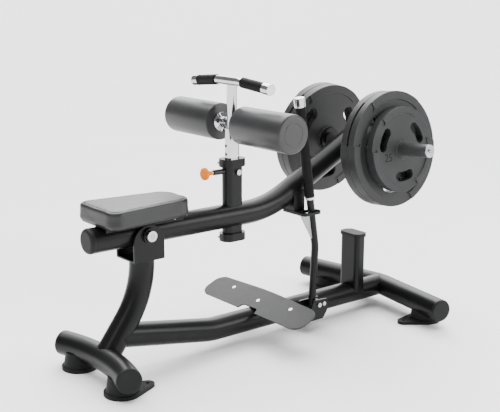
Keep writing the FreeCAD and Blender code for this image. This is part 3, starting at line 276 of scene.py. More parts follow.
@dataclass(frozen=True)
class Finish:
    """A surface finish, with its colour, gloss, grain, and a lighter colour on its edges for rubbed paint
    and a painted edge highlight.
    """

    name: str
    slot: str
    colour: Colour
    shade: Colour
    # The edge colour: partly rubbed paint, partly a painted highlight along every edge
    worn_and_highlit: Colour
    rough: Tuple[float, float]
    grain: Grain
    grain_scale: float
    grain_depth: float
    grain_strength: float = 0.35
    mottle_scale: float = 9.0
    # How strongly the edge colour shows, as rubbed paint and as painted highlight
    wear_and_highlight: float = 0.5
    edge: float = 0.0012
    metal: float = 0.0
    specular: float = 0.12
    sheen: float = 0.0

    def pattern(self, bench: NodeBench) -> Socket:
        """The height of the finish's grain.

        Args:
            bench: where the nodes go.

        Returns:
            The grain's height.
        """
        scale = self.grain_scale
        if self.grain is Grain.LEATHER:
            return bench.cells(scale)
        if self.grain is Grain.BRUSHED:
            return bench.noise(scale, 4.0, bench.stretch((1.0, 1.0, 0.04)))
        if self.grain is Grain.RIBBED:
            inputs = {"Vector": bench.place, "Scale": scale, "Distortion": 0.0}
            return bench.node("ShaderNodeTexWave", inputs, bands_direction="Y").outputs["Fac"]
        if self.grain is Grain.PLY:
            return bench.noise(scale, 6.0, bench.stretch((0.06, 1.0, 8.0)))
        return bench.noise(scale, 6.0 if self.grain is Grain.CAST else 2.0)

    def material(self) -> bpy.types.Material:
        """Makes the finish as a material.

        Returns:
            The material.
        """
        bench = NodeBench(self.name)
        cloud = bench.spread(bench.noise(self.mottle_scale, 4.0), 0.0, 1.0)
        # The edge mask, broken up by noise, lightens every edge towards the edge colour: partly rubbed
        # paint, partly a painted highlight
        soft, edge = bench.edges(self.edge)
        scuff_and_highlight = bench.spread(bench.noise(self.mottle_scale * SCUFF_AND_HIGHLIGHT_FINER, 5.0),
                             low=0.35, high=1.0, start=0.42, end=0.62)
        wear_and_highlight = bench.times(bench.times(edge, scuff_and_highlight), self.wear_and_highlight)
        base = bench.tint(cloud, self.colour, self.shade)
        fine = bench.spread(bench.noise(self.mottle_scale * GLOSS_FINER, 3.0), *self.rough)
        normal = bench.bump(self.pattern(bench), self.grain_depth, self.grain_strength, soft)
        made = bench.plug(Base_Color=bench.tint(wear_and_highlight, base, self.worn_and_highlit), Roughness=fine, Normal=normal)
        bench.plug(Metallic=self.metal, Specular_IOR_Level=self.specular, Sheen_Weight=self.sheen)
        if self.sheen:
            bench.plug(Sheen_Roughness=0.4)
        return made


# The third colour of each finish is its edge colour, for rubbed paint and for a painted edge highlight
FINISHES: Dict[str, Finish] = {f.name: f for f in (
    Finish("satin_charcoal_powder_coat", "frame_paint", (0.0042, 0.0043, 0.0046), (0.0060, 0.0061, 0.0065),
           (0.045, 0.046, 0.049), (0.30, 0.38), Grain.ORANGE_PEEL, 1500.0, 0.00010, 0.30, wear_and_highlight=0.7,
           specular=0.17),
    Finish("moulded_cap_plastic", "dark_plastic", (0.0090, 0.0092, 0.0097), (0.0125, 0.0127, 0.0132),
           (0.05, 0.05, 0.052), (0.48, 0.58), Grain.CAST, 1900.0, 0.00012, 0.35, specular=0.15),
    Finish("moulded_foot_rubber", "foot_rubber", (0.0080, 0.0082, 0.0087), (0.0110, 0.0112, 0.0117),
           (0.04, 0.04, 0.042), (0.52, 0.66), Grain.CAST, 1300.0, 0.00016, 0.40, specular=0.15),
    Finish("zinc_plated_steel", "bright_steel", (0.55, 0.55, 0.56), (0.38, 0.38, 0.40),
           (0.80, 0.80, 0.80), (0.20, 0.34), Grain.BRUSHED, 1400.0, 0.00005, 0.25, metal=1.0, specular=0.5),
    Finish("folded_bright_plate", "bright_steel", (0.40, 0.40, 0.41), (0.30, 0.30, 0.31),
           (0.60, 0.60, 0.60), (0.42, 0.55), Grain.BRUSHED, 1000.0, 0.00005, 0.25, metal=0.8, specular=0.5),
    Finish("textured_step_coat", "step_metal", (0.020, 0.0204, 0.0214), (0.027, 0.0274, 0.0284),
           (0.10, 0.10, 0.105), (0.46, 0.62), Grain.CAST, 700.0, 0.00035, 0.55, wear_and_highlight=0.4, specular=0.3),
    Finish("turned_bush_plastic", "bush_plastic", (0.02, 0.02, 0.02), (0.03, 0.03, 0.03),
           (0.06, 0.06, 0.06), (0.45, 0.55), Grain.CAST, 1500.0, 0.00010),
    Finish("grained_grey_vinyl", "vinyl", (0.0058, 0.0060, 0.0064), (0.0085, 0.0087, 0.0092),
           (0.07, 0.07, 0.073), (0.40, 0.50), Grain.LEATHER, 900.0, 0.00022, 0.45, wear_and_highlight=0.25, edge=0.0020,
           specular=0.45),
    Finish("dark_seam_vinyl", "vinyl", (0.0028, 0.0028, 0.0030), (0.0040, 0.0040, 0.0042),
           (0.02, 0.02, 0.02), (0.50, 0.60), Grain.LEATHER, 1500.0, 0.00010, 0.30, wear_and_highlight=0.2),
    Finish("satin_horn_steel", "frame_paint", (0.0300, 0.0302, 0.0310), (0.0400, 0.0402, 0.0410),
           (0.12, 0.09, 0.093), (0.30, 0.42), Grain.BRUSHED, 1300.0, 0.00006, 0.30, wear_and_highlight=0.6,
           specular=0.35),
    Finish("smooth_roller_vinyl", "vinyl", (0.0190, 0.0192, 0.0202), (0.0240, 0.0243, 0.0252),
           (0.05, 0.05, 0.052), (0.36, 0.44), Grain.LEATHER, 1500.0, 0.00010, 0.30, wear_and_highlight=0.25, edge=0.0020,
           sheen=0.02, specular=0.40),
    Finish("sealed_birch_ply", "seat_wood", (0.0050, 0.0045, 0.0040), (0.0080, 0.0070, 0.0060),
           (0.03, 0.025, 0.02), (0.55, 0.70), Grain.PLY, 260.0, 0.00015),
    Finish("polished_chrome", "chrome", (0.58, 0.58, 0.59), (0.48, 0.48, 0.50),
           (0.85, 0.85, 0.85), (0.05, 0.12), Grain.BRUSHED, 2600.0, 0.00002, 0.12, wear_and_highlight=0.2, metal=1.0,
           specular=0.5),
    Finish("black_oxide_steel", "barrel_black", (0.010, 0.010, 0.0105), (0.016, 0.016, 0.0165),
           (0.10, 0.10, 0.10), (0.28, 0.38), Grain.BRUSHED, 1600.0, 0.00004, 0.25, metal=0.4, specular=0.3),
    Finish("orange_knob_plastic", "orange_plastic", (0.80, 0.19, 0.0), (0.86, 0.22, 0.0),
           (0.90, 0.33, 0.03), (0.26, 0.36), Grain.CAST, 1200.0, 0.00006, 0.25, wear_and_highlight=0.3, specular=0.12),
    Finish("ribbed_grip_rubber", "grip_rubber", (0.0035, 0.0035, 0.0037), (0.0055, 0.0055, 0.0058),
           (0.02, 0.02, 0.02), (0.55, 0.70), Grain.RIBBED, 90.0, 0.00040, 0.45, wear_and_highlight=0.2),
    Finish("foam_lever_grip", "grip_rubber", (0.0040, 0.0040, 0.0042), (0.0060, 0.0060, 0.0063),
           (0.02, 0.02, 0.02), (0.60, 0.72), Grain.CAST, 900.0, 0.00022, 0.40, wear_and_highlight=0.2),
    Finish("coated_cast_plate", "plate_iron", (0.0200, 0.0203, 0.0212), (0.0260, 0.0263, 0.0272),
           (0.150, 0.152, 0.156), (0.38, 0.50), Grain.CAST, 850.0, 0.00020, 0.35, wear_and_highlight=0.75, edge=0.0016,
           specular=0.22),
    Finish("raised_number_face", "plate_iron", (0.0020, 0.0020, 0.0022), (0.0030, 0.0030, 0.0032),
           (0.04, 0.04, 0.042), (0.45, 0.55), Grain.CAST, 900.0, 0.00010, 0.30, wear_and_highlight=0.4),
    # The socket finish is near black: painted shade for the hollow of a hex socket in bright steel
    Finish("socket_steel_painted_shade", "bright_steel", (0.0020, 0.0020, 0.0021), (0.0030, 0.0030, 0.0031),
           (0.01, 0.01, 0.01), (0.60, 0.70), Grain.BRUSHED, 1500.0, 0.00004, 0.25, wear_and_highlight=0.1, specular=0.08),
)}


class FinishRack:
    """Keeps one material for each finish, made when it is first asked for."""

    def __init__(self) -> None:
        """Starts with no materials made."""
        self.made: Dict[str, bpy.types.Material] = {}

    def coat(self, piece: bpy.types.Object, name: str) -> None:
        """Puts a finish on every face of a piece.

        Args:
            piece: a CAD node or a new piece.
            name: the finish's name.
        """
        if name not in self.made:
            self.made[name] = FINISHES[name].material()
        if not piece.material_slots:
            piece.data.materials.append(self.made[name])
        for slot in piece.material_slots:
            slot.link = "DATA"
            slot.material = self.made[name]

    def coat_nodes(self, name: str, nodes: Sequence[str]) -> None:
        """Puts a finish on CAD nodes and reports each one.

        Args:
            name: the finish's name.
            nodes: the nodes' names.
        """
        for node in nodes:
            self.coat(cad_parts[node], name)
            LOG.info("dressed %s in %s", node, name)


RACK = FinishRack()


# ---------------------------------------------------------------- modelling steps


class Workbench:
    """The modelling steps that every new piece is made with."""

    @staticmethod
    def hold(piece: bpy.types.Object) -> None:
        """Makes one piece the only one selected.

        Args:
            piece: the piece to work on.
        """
        if bpy.context.object and bpy.context.object.mode != "OBJECT":
            bpy.ops.object.mode_set(mode="OBJECT")
        bpy.ops.object.select_all(action="DESELECT")
        piece.select_set(True)
        bpy.context.view_layer.objects.active = piece

    @classmethod
    def start(cls, name: str, primitive: Callable[..., object], **sizes: object) -> bpy.types.Object:
        """Adds a primitive as the start of a piece, with its place in its mesh.

        Args:
            name: the piece's name.
            primitive: the operator that adds it.
            **sizes: the operator's settings.

        Returns:
            The new piece.
        """
        bpy.ops.object.select_all(action="DESELECT")
        primitive(**sizes)
        piece = bpy.context.object
        piece.name = piece.data.name = name
        cls.settle(piece)
        return piece

    @classmethod
    def settle(cls, piece: bpy.types.Object) -> None:
        """Moves a piece's place, turn and scale into its mesh.

        Args:
            piece: the piece.
        """
        cls.hold(piece)
        bpy.ops.object.transform_apply(location=True, rotation=True, scale=True)

    @classmethod
    def faces(cls, piece: bpy.types.Object, test: Callable[[Vector, Vector], bool]) -> None:
        """Opens a piece in edit mode with some faces selected.

        Args:
            piece: the piece.
            test: says from a face's middle and normal whether it is wanted.
        """
        cls.hold(piece)
        mesh = piece.data
        for group in (mesh.vertices, mesh.edges, mesh.polygons):
            group.foreach_set("select", [False] * len(group))
        for face in mesh.polygons:
            face.select = test(face.center, face.normal)
        bpy.ops.object.mode_set(mode="EDIT")
        bpy.ops.mesh.select_mode(type="FACE")

    @classmethod
    def edges(cls, piece: bpy.types.Object, test: Callable[[Vector, Vector], bool]) -> None:
        """Opens a piece in edit mode with some edges selected.

        Args:
            piece: the piece.
            test: says from an edge's two ends whether it is wanted.
        """
        cls.hold(piece)
        mesh = piece.data
        for group in (mesh.vertices, mesh.edges, mesh.polygons):
            group.foreach_set("select", [False] * len(group))
        for edge in mesh.edges:
            a, b = (mesh.vertices[i].co for i in edge.vertices)
            edge.select = test(a, b)
        bpy.ops.object.mode_set(mode="EDIT")
        bpy.ops.mesh.select_mode(type="EDGE")

    @staticmethod
    def done() -> None:
        """Leaves edit mode."""
        bpy.ops.object.mode_set(mode="OBJECT")

    @classmethod
    def modify(cls, piece: bpy.types.Object, kind: str, **settings: object) -> None:
        """Adds a modifier and applies it.

        Args:
            piece: the piece.
            kind: the modifier's type.
            **settings: its settings.
        """
        cls.hold(piece)
        modifier = piece.modifiers.new(kind.lower(), kind)
        for key, value in settings.items():
            setattr(modifier, key, value)
        bpy.ops.object.modifier_apply(modifier=modifier.name)

    @classmethod
    def close(cls, piece: bpy.types.Object, angle: float = 35.0) -> None:
        """Merges a piece's doubles, points its faces outwards and smooths it.

        Args:
            piece: the piece.
            angle: the edges sharper than this many degrees stay sharp.
        """
        cls.hold(piece)
        bpy.ops.object.mode_set(mode="EDIT")
        bpy.ops.mesh.select_all(action="SELECT")
        bpy.ops.mesh.remove_doubles(threshold=0.00002)
        bpy.ops.mesh.normals_make_consistent(inside=False)
        cls.done()
        bpy.ops.object.shade_smooth_by_angle(angle=math.radians(angle))

    @classmethod
    def copy(cls, piece: bpy.types.Object, name: str, shift: Point) -> bpy.types.Object:
        """Copies a piece with its own mesh and moves the copy.

        Args:
            piece: what is copied.
            name: the copy's name.
            shift: how far it moves.

        Returns:
            The copy.
        """
        cls.hold(piece)
        bpy.ops.object.duplicate(linked=False)
        other = bpy.context.object
        other.name = other.data.name = name
        other.location = shift
        cls.settle(other)
        return other

    @staticmethod
    def fit(piece: bpy.types.Object, body: str, slot: str, finish: str) -> None:
        """Dresses a finished piece, gives it its body and reports it.

        Args:
            piece: the piece.
            body: the body that it moves with.
            slot: the record's material slot; not used.
            finish: the finish's name.
        """
        RACK.coat(piece, finish)
        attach(piece, body)
        LOG.info("made %s with %d faces on %s", piece.name, len(piece.data.polygons), body)


def middle(node: str) -> Vector:
    """The middle of a CAD node's box.

    Args:
        node: the node's name.

    Returns:
        The middle, in metres.
    """
    low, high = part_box(node)
    return (low + high) / 2


# ---------------------------------------------------------------- soft pieces


@dataclass
class SeatCushion:
    """The seat's foam pad under its vinyl cover, with the welt that runs round its top."""

    rear_half: float = 0.130
    front_half: float = 0.088
    rear_corner: float = 0.046
    front_corner: float = 0.056
    shrink: float = 0.0022
    lift: float = 0.0006
    corner_height: float = 0.02
    top_round: float = 0.0080
    tuck: float = 0.0150
    welt_inset: float = 0.0165
    welt_radius: float = 0.0010
    voxel: float = 0.0042
    pressure: float = 4.0
    most_swell: float = 0.0034
    steps: int = 20
    calm: int = 24
    crown: float = 0.0020
    crown_reach: float = 0.07
    crown_half: float = 0.06
    crown_rim_share: float = 0.5
    press: float = 0.0022
    press_reach: float = 0.0045
    flat_foot: float = 0.004
    top_facing: float = 0.35
    top_depth: float = 0.02
    low: float = 0.0
    high: float = 0.0

    def shell(self) -> bpy.types.Object:
        """Shapes the pad's outline as a thick plate with rounded corners.

        Returns:
            The outline, open to be shaped further.
        """
        low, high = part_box("seat_pad")
        self.low, self.high = low.z + self.lift, high.z - self.shrink
        long, mid = high.x - low.x - 2 * self.shrink, (low + high) / 2
        half = self.rear_half - self.shrink
        size = (long, 2 * half, self.high - self.low)
        pad = Workbench.start("seat_cushion", bpy.ops.mesh.primitive_cube_add, size=1.0,
                              location=(mid.x, 0, (self.low + self.high) / 2), scale=size)
        Workbench.faces(pad, lambda c, n: n.x > FACING)
        narrow = (self.front_half - self.shrink) / half
        bpy.ops.transform.resize(value=(1, narrow, 1), center_override=(high.x, 0, mid.z))
        Workbench.done()
        for rear, corner in ((True, self.rear_corner), (False, self.front_corner)):
            Workbench.edges(pad, lambda a, b: abs(a.z - b.z) > self.corner_height
                            and (a.x < mid.x) == rear and abs(abs(a.x - mid.x) - long / 2) < NEAR)
            bpy.ops.mesh.bevel(offset=corner, segments=9, affect="EDGES")
            Workbench.done()
        return pad

    def welt_line(self, pad: bpy.types.Object) -> bpy.types.Object:
        """Takes the line that the welt follows from the pad's top.

        Args:
            pad: the outline.

        Returns:
            A closed line of short edges.
        """
        line = Workbench.copy(pad, "seat_welt", (0, 0, 0))
        Workbench.faces(line, lambda c, n: n.z > FACING)
        bpy.ops.mesh.inset(thickness=self.welt_inset)
        bpy.ops.mesh.select_all(action="INVERT")
        bpy.ops.mesh.delete(type="FACE")
        bpy.ops.mesh.select_all(action="SELECT")
        bpy.ops.mesh.delete(type="ONLY_FACE")
        bpy.ops.mesh.select_mode(type="EDGE")
        bpy.ops.mesh.select_all(action="SELECT")
        bpy.ops.mesh.subdivide(number_cuts=5)
        Workbench.done()
        return line

    def inflate(self, pad: bpy.types.Object) -> None:
        """Swells the foam under its cover, keeping the underside flat on its board.

        Args:
            pad: the closed pad.
        """
        Workbench.modify(pad, "REMESH", mode="VOXEL", voxel_size=self.voxel, use_smooth_shade=True)
        start = [v.co.copy() for v in pad.data.vertices]
        Workbench.hold(pad)
        cloth = pad.modifiers.new("cloth", "CLOTH")
        cloth.settings.use_pressure = True
        cloth.settings.uniform_pressure_force = self.pressure
        cloth.settings.effector_weights.gravity = 0.0
        cloth.point_cache.frame_start, cloth.point_cache.frame_end = 1, self.steps
        for step in range(1, self.steps + 1):
            bpy.context.scene.frame_set(step)
        bpy.ops.object.modifier_apply(modifier=cloth.name)
        bpy.context.scene.frame_set(1)
        height = self.high - self.low
        swell = [v.co - was for v, was in zip(pad.data.vertices, start)]
        near: List[List[int]] = [[] for _ in start]
        for edge in pad.data.edges:
            a, b = edge.vertices
            near[a].append(b)
            near[b].append(a)
        for _ in range(self.calm):
            swell = [sum((swell[k] for k in around), swell[i] * 2) / (len(around) + 2)
                     for i, around in enumerate(near)]
        for vertex, was, move in zip(pad.data.vertices, start, swell):
            risen = max(0.0, (was.z - self.low - self.flat_foot) / (0.5 * height))
            most = self.most_swell * min(1.0, risen)
            vertex.co = was + (move.normalized() * most if move.length > most else move)

    def crease(self, pad: bpy.types.Object, line: bpy.types.Object) -> None:
        """Presses the cover in along the welt and crowns the panel inside it.

        Args:
            pad: the swollen pad.
            line: the welt's line.
        """
        tree = KDTree(len(line.data.vertices))
        for vertex in line.data.vertices:
            tree.insert(vertex.co, vertex.index)
        tree.balance()
        for vertex in pad.data.vertices:
            if vertex.normal.z < self.top_facing or vertex.co.z < self.high - self.top_depth:
                continue
            level = Vector((vertex.co.x, vertex.co.y, line.data.vertices[0].co.z))
            near = tree.find(level)[2]
            middle_share = 1 if abs(vertex.co.y) < self.crown_half else self.crown_rim_share
            vertex.co.z -= self.press * max(0.0, 1 - near / self.press_reach) ** 2
            vertex.co.z += self.crown * min(1.0, near / self.crown_reach) * middle_share

    def build(self) -> None:
        """Models the pad and its welt and puts them in the machine."""
        pad = self.shell()
        line = self.welt_line(pad)
        top, bottom = self.high, self.low
        Workbench.edges(pad, lambda a, b: all(abs(p.z - top) < LEVEL for p in (a, b)))
        bpy.ops.mesh.bevel(offset=self.top_round, segments=4, affect="EDGES")
        Workbench.done()
        Workbench.edges(pad, lambda a, b: all(abs(p.z - bottom) < LEVEL for p in (a, b)))
        bpy.ops.mesh.bevel(offset=self.tuck, segments=3, affect="EDGES", profile=0.45)
        Workbench.done()
        Workbench.close(pad)
        self.inflate(pad)
        self.crease(pad, line)
        Workbench.modify(pad, "SMOOTH", factor=0.35, iterations=2)
        Workbench.modify(pad, "SUBSURF", levels=1, render_levels=1)
        Workbench.close(pad, 60)
        Workbench.modify(line, "SHRINKWRAP", target=pad, wrap_method="NEAREST_SURFACEPOINT",
                         wrap_mode="ABOVE_SURFACE", offset=0.0001)
        Workbench.hold(line)
        bpy.ops.object.convert(target="CURVE")
        line.data.bevel_depth, line.data.bevel_resolution = self.welt_radius, 3
        bpy.ops.object.convert(target="MESH")
        Workbench.close(line, 60)
        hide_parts("seat_pad")
        Workbench.fit(pad, "arm", "vinyl", "grained_grey_vinyl")
        Workbench.fit(line, "arm", "vinyl", "dark_seam_vinyl")


@dataclass
class KneeRoller:
    """One knee roller: a foam sleeve in smooth vinyl, closed at its outer end."""

    side: Side
    radius: float = 0.0684
    bore: float = 0.0206
    bore_end: float = 0.3304
    line_share: float = 0.60
    line_wide: float = 0.0011
    line_deep: float = 0.0010
    outer_round: float = 0.0075
    inner_round: float = 0.0035

    def build(self) -> None:
        """Models the roller and puts it on its core."""
        node = f"roller_pad_{self.side.word}"
        low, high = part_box(node)
        mid, way = (low + high) / 2, self.side.value
        inner, outer = sorted((low.y, high.y), key=abs)
        roller = Workbench.start(f"knee_roller_{self.side.word}", bpy.ops.mesh.primitive_cylinder_add,
                                 vertices=96, radius=self.radius, depth=abs(outer - inner),
                                 location=mid, rotation=(math.pi / 2, 0, 0))
        Workbench.faces(roller, lambda c, n: n.y * way > FACING)
        bpy.ops.mesh.inset(thickness=self.radius * (1 - self.line_share))
        bpy.ops.mesh.inset(thickness=self.line_wide, depth=-self.line_deep)
        bpy.ops.mesh.inset(thickness=self.line_wide, depth=self.line_deep)
        bpy.ops.mesh.inset(thickness=self.radius * self.line_share * 0.5)
        Workbench.done()
        Workbench.faces(roller, lambda c, n: n.y * way < -FACING)
        bpy.ops.mesh.inset(thickness=self.radius - self.bore)
        bpy.ops.mesh.extrude_region_move(
            TRANSFORM_OT_translate={"value": (0, way * (self.bore_end - abs(inner)), 0)})
        Workbench.done()
        for y, size, cuts in ((outer, self.outer_round, 5), (inner, self.inner_round, 3)):
            Workbench.edges(roller, lambda a, b: all(
                abs(p.y - y) < LEVEL and math.hypot(p.x - mid.x, p.z - mid.z) > self.radius - NEAR
                for p in (a, b)))
            bpy.ops.mesh.bevel(offset=size, segments=cuts, affect="EDGES")
            Workbench.done()
        Workbench.close(roller, 30)
        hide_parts(node)
        Workbench.fit(roller, f"roller_{self.side.word}", "vinyl", "smooth_roller_vinyl")


# ---------------------------------------------------------------- small fittings


@dataclass
class CollarScrews:
    """The small button-head screws in the sleeve's two collars."""

    radius: float = 0.0052
    height: float = 0.0030
    across: float = 0.0170
    sunk: float = 0.0002
    socket_deep: float = 0.0016
    head_round: float = 0.0013

    def build(self) -> None:
        """Models one screw and copies it to the other collar."""
        low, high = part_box("sleeve_top_collar")
        spot = (low.x - self.height / 2 + self.sunk, self.across, (low.z + high.z) / 2)
        screw = Workbench.start("collar_screw_top", bpy.ops.mesh.primitive_cylinder_add, vertices=32,
                                radius=self.radius, depth=self.height, location=spot,
                                rotation=(0, math.pi / 2, 0))
        front = spot[0] - self.height / 2
        Workbench.faces(screw, lambda c, n: n.x < -FACING)
        bpy.ops.mesh.inset(thickness=self.radius * 0.5)
        bpy.ops.mesh.extrude_region_move(TRANSFORM_OT_translate={"value": (self.socket_deep, 0, 0)})
        Workbench.done()
        Workbench.edges(screw, lambda a, b: all(
            abs(p.x - front) < 1e-5 and math.hypot(p.y - spot[1], p.z - spot[2]) > self.radius * 0.9
            for p in (a, b)))
        bpy.ops.mesh.bevel(offset=self.head_round, segments=3, affect="EDGES")
        Workbench.done()
        Workbench.close(screw, 40)
        down = middle("sleeve_bottom_collar").z - middle("sleeve_top_collar").z
        lower = Workbench.copy(screw, "collar_screw_bottom", (0, 0, down))
        for piece in (screw, lower):
            Workbench.fit(piece, "arm", "bright_steel", "zinc_plated_steel")


@dataclass
class HexSocket:
    """The hexagon socket in the face of a bolt head."""

    name: str
    body: str
    spot: Point
    out: Point
    radius: float = 0.0075
    depth: float = 0.0012
    proud: float = 0.0003
    rim_share: float = 0.12
    cup_share: float = 0.7

    def build(self) -> None:
        """Models the socket as a shallow cup with a chamfered rim, coloured near black as painted shade
        inside the socket.
        """
        face = Vector(self.out).normalized()
        turn = face.to_track_quat("Z", "Y").to_euler()
        place = Vector(self.spot) + face * (self.proud - self.depth / 2)
        cup = Workbench.start(self.name, bpy.ops.mesh.primitive_cylinder_add, vertices=6,
                              radius=self.radius, depth=self.depth, location=place, rotation=turn)
        Workbench.faces(cup, lambda c, n: n.dot(face) > FACING)
        bpy.ops.mesh.inset(thickness=self.radius * self.rim_share)
        bpy.ops.mesh.extrude_region_move(
            TRANSFORM_OT_translate={"value": -face * self.depth * self.cup_share})
        Workbench.done()
        Workbench.close(cup, 20)
        Workbench.fit(cup, self.body, "bright_steel", "socket_steel_painted_shade")


@dataclass
class PlateNumber:
    """The weight in raised numbers on the face of a small plate."""

    side: Side
    text: str = "25"
    height: float = 0.043
    share: float = 0.50
    turn: float = 199.0
    relief: float = 0.0008
    soften: float = 0.0003
    dish: float = 0.005

    def build(self) -> None:
        """Models the number and puts it on the outer plate."""
        node = f"plate_{self.side.word}_outer"
        low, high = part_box(node)
        mid, way, tilt = (low + high) / 2, self.side.value, math.radians(HORN_LEAN)
        out = Vector((0, way * math.cos(tilt), math.sin(tilt)))
        up = Vector((0, -way * math.sin(tilt), math.cos(tilt)))
        right = Vector((-way, 0, 0))
        radius = (high.x - low.x) / 2
        thick = ((high.y - low.y) - 2 * radius * math.sin(tilt)) / math.cos(tilt)
        spot = mid + out * (thick / 2 - self.dish)
        turn = math.radians(self.turn)
        spot = spot + radius * self.share * (right * math.cos(turn) + up * math.sin(turn))
        bpy.ops.object.select_all(action="DESELECT")
        bpy.ops.object.text_add(location=spot)
        words = bpy.context.object
        words.name = f"plate_number_{self.side.word}"
        words.data.body, words.data.size = self.text, self.height
        words.data.align_x, words.data.align_y = "CENTER", "CENTER"
        words.data.extrude, words.data.bevel_depth = self.relief, self.soften
        words.rotation_mode = "QUATERNION"
        words.rotation_quaternion = Matrix((right, up, out)).transposed().to_quaternion()
        bpy.ops.object.convert(target="MESH")
        Workbench.settle(words)
        Workbench.close(words, 40)
        Workbench.fit(words, node, "plate_iron", "raised_number_face")


# ---------------------------------------------------------------- CAD nodes


@dataclass
class PaintedFrame:
    """The welded frame, with its feet, caps, pivot and foot plate."""

    painted: Tuple[str, ...] = ("rear_crossbar", "front_crossbar", "base_tube", "upright", "pivot_bracket",
                                "foot_plate_support", "stop_post", "lever_bracket", "axle_spacers")
    caps: Tuple[str, ...] = ("crossbar_caps", "stop_post_cap")
    bright: Tuple[str, ...] = ("pivot_axle", "foot_plate_bolts", "lever_pivot_bolt", "lever_stay_bolt")

    def dress(self) -> None:
        """Gives every node of the frame its finish."""
        RACK.coat_nodes("satin_charcoal_powder_coat", self.painted)
        RACK.coat_nodes("moulded_cap_plastic", self.caps)
        RACK.coat_nodes("moulded_foot_rubber", ("rear_feet", "front_feet"))
        RACK.coat_nodes("zinc_plated_steel", self.bright)
        RACK.coat_nodes("textured_step_coat", ("foot_plate",))
        low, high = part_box("pivot_axle")
        mid = middle("pivot_axle")
        for side, y in ((Side.RIGHT, low.y), (Side.LEFT, high.y)):
            HexSocket(f"axle_socket_{side.word}", "frame", (mid.x, y, mid.z), (0, side.value, 0)).build()


@dataclass
class LoadingArm:
    """The pivoting arm, with its sleeve, horns, catch loop and pull pin."""

    painted: Tuple[str, ...] = ("arm_tube", "horn_crossbar", "pivot_hub", "seat_saddle", "post_sleeve",
                                "sleeve_top_collar", "sleeve_bottom_collar", "horn_flanges",
                                "catch_bracket", "catch_loop")

    def dress(self) -> None:
        """Gives every node of the arm its finish."""
        RACK.coat_nodes("satin_charcoal_powder_coat", self.painted)
        RACK.coat_nodes("satin_horn_steel", ("weight_horns",))
        RACK.coat_nodes("moulded_cap_plastic", ("arm_rear_cap", "arm_front_cap"))
        RACK.coat_nodes("turned_bush_plastic", ("pivot_bushes",))
        RACK.coat_nodes("sealed_birch_ply", ("seat_board",))
        RACK.coat_nodes("zinc_plated_steel", ("seat_bolts", "jam_bolt", "horn_end_bolts"))
        RACK.coat_nodes("black_oxide_steel", ("pin_barrel",))
        RACK.coat_nodes("polished_chrome", ("pin_rod",))
        RACK.coat_nodes("orange_knob_plastic", ("pin_knob",))
        CollarScrews().build()
        for side in Side:
            self.horn_socket(side)

    @staticmethod
    def horn_socket(side: Side, bolt_radius: float = 0.009) -> None:
        """Puts the socket in the end of one horn.

        Args:
            side: the horn's side.
            bolt_radius: the end bolt's radius.
        """
        low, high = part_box("horn_end_bolts")
        tilt = math.radians(HORN_LEAN)
        out = Vector((0, side.value * math.cos(tilt), math.sin(tilt)))
        reach = (high.y - bolt_radius * math.sin(tilt)) / math.cos(tilt)
        root = Vector(((low.x + high.x) / 2, 0, HORN_HEIGHT))
        spot = tuple(root + out * reach)
        HexSocket(f"horn_socket_{side.word}", "arm", spot, tuple(out), radius=0.0066).build()


@dataclass
class KneePost:
    """The chromed post with its handle, grips, roller axle and cores."""

    chromed: Tuple[str, ...] = ("knee_post", "handle_stem", "handle_bar", "handle_end_caps", "roller_axle",
                                "roller_core_right", "roller_core_left")

    def dress(self) -> None:
        """Gives every node of the post its finish and adds the rollers."""
        RACK.coat_nodes("polished_chrome", self.chromed)
        RACK.coat_nodes("ribbed_grip_rubber", ("handle_grips",))
        for side in Side:
            KneeRoller(side).build()


@dataclass
class CatchLever:
    """The long catch lever with its grip, trim and bright catch plate."""

    def dress(self) -> None:
        """Gives every node of the lever its finish."""
        RACK.coat_nodes("satin_charcoal_powder_coat", ("lever_tube",))
        RACK.coat_nodes("folded_bright_plate", ("lever_catch",))
        RACK.coat_nodes("foam_lever_grip", ("lever_grip",))
        RACK.coat_nodes("polished_chrome", ("lever_trim",))


@dataclass
class WeightPlates:
    """The six weight plates on the horns."""

    places: Tuple[str, ...] = ("inner", "middle", "outer")

    def dress(self) -> None:
        """Gives every plate its finish and adds the numbers."""
        for side in Side:
            names = [f"plate_{side.word}_{place}" for place in self.places]
            RACK.coat_nodes("coated_cast_plate", names)
            PlateNumber(side).build()


# ---------------------------------------------------------------- studio


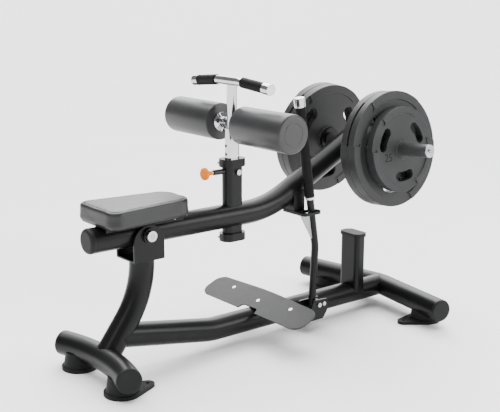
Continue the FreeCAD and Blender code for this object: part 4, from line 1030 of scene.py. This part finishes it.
@dataclass
class Studio:
    """The pale floor, the soft lights and the camera."""

    camera_place: Point = (-2.2360, -2.7657, 1.3552)
    camera_turn: Point = (76.811, 0.0, -38.399)
    lens: float = 69.51
    shift: float = 0.0101
    sky: float = 0.30
    overhead: float = 8.5
    back: float = 2.6
    spread: float = 75.0
    back_spread: float = 42.0
    strips: Tuple[Tuple[str, Point, Point, Tuple[float, float], float], ...] = (
        ("side_strip", (-3.4, -1.2, 2.4), (0, 0, 0.5), (0.5, 2.2), 30.0),
        ("front_strip", (2.2, -3.0, 1.9), (0.4, 0, 0.7), (0.8, 1.8), 90.0))

    def surface(self) -> None:
        """Lays the floor."""
        floor = Workbench.start("studio_floor", bpy.ops.mesh.primitive_plane_add, size=500.0,
                                location=(0, 0, -0.0004))
        bench = NodeBench("pale_studio_floor")
        cloud = bench.noise(0.7, 2.0)
        tint = bench.tint(bench.spread(cloud, 0.0, 1.0), (0.89, 0.89, 0.89), (0.91, 0.91, 0.91))
        floor.data.materials.append(bench.plug(Base_Color=tint, Roughness=0.75, Specular_IOR_Level=0.2))

    @staticmethod
    def lamp(name: str, place: Point, aim: Point, size: Tuple[float, float], power: float) -> None:
        """Hangs one soft light.

        Args:
            name: the light's name.
            place: where it hangs.
            aim: what it points at.
            size: its width and height.
            power: its power in watts.
        """
        light = bpy.data.lights.new(name, "AREA")
        light.shape, light.size, light.size_y, light.energy = "RECTANGLE", size[0], size[1], power
        lamp = bpy.data.objects.new(name, light)
        lamp.location = place
        lamp.rotation_euler = (Vector(aim) - Vector(place)).to_track_quat("-Z", "Y").to_euler()
        bpy.context.scene.collection.objects.link(lamp)

    @staticmethod
    def panel(name: str, turn: Point, power: float, spread: float) -> None:
        """Hangs one wide, even light that is the same all over the floor.

        Args:
            name: the light's name.
            turn: how it is turned from straight down, in degrees.
            power: how strong it is.
            spread: how wide it looks from the floor, in degrees.
        """
        light = bpy.data.lights.new(name, "SUN")
        light.energy, light.angle = power, math.radians(spread)
        lamp = bpy.data.objects.new(name, light)
        lamp.rotation_euler = [math.radians(a) for a in turn]
        bpy.context.scene.collection.objects.link(lamp)

    def build(self) -> None:
        """Sets up the floor, the lights and the camera."""
        self.surface()
        world = bpy.data.worlds.new("studio_air")
        bpy.context.scene.world = world
        world.use_nodes = True
        world.node_tree.nodes["Background"].inputs[0].default_value = (1.0, 1.0, 1.0, 1.0)
        world.node_tree.nodes["Background"].inputs[1].default_value = self.sky
        self.panel("overhead_softbox", (-14.0, 10.0, 0.0), self.overhead, self.spread)
        self.panel("back_softbox", (0.0, 60.0, 52.0), self.back, self.back_spread)
        for strip in self.strips:
            self.lamp(*strip)
        sight = bpy.data.cameras.new("camera")
        sight.lens, sight.sensor_width, sight.shift_x = self.lens, 36.0, self.shift
        camera = bpy.data.objects.new("camera", sight)
        camera.location = self.camera_place
        camera.rotation_euler = [math.radians(a) for a in self.camera_turn]
        bpy.context.scene.collection.objects.link(camera)
        bpy.context.scene.camera = camera


def main() -> None:
    """Builds and dresses the machine, one sub-assembly after another."""
    logging.basicConfig(level=logging.INFO, format="%(name)s: %(message)s")
    Studio().build()
    PaintedFrame().dress()
    LoadingArm().dress()
    KneePost().dress()
    CatchLever().dress()
    WeightPlates().dress()
    SeatCushion().build()


if __name__ == "__main__":
    main()
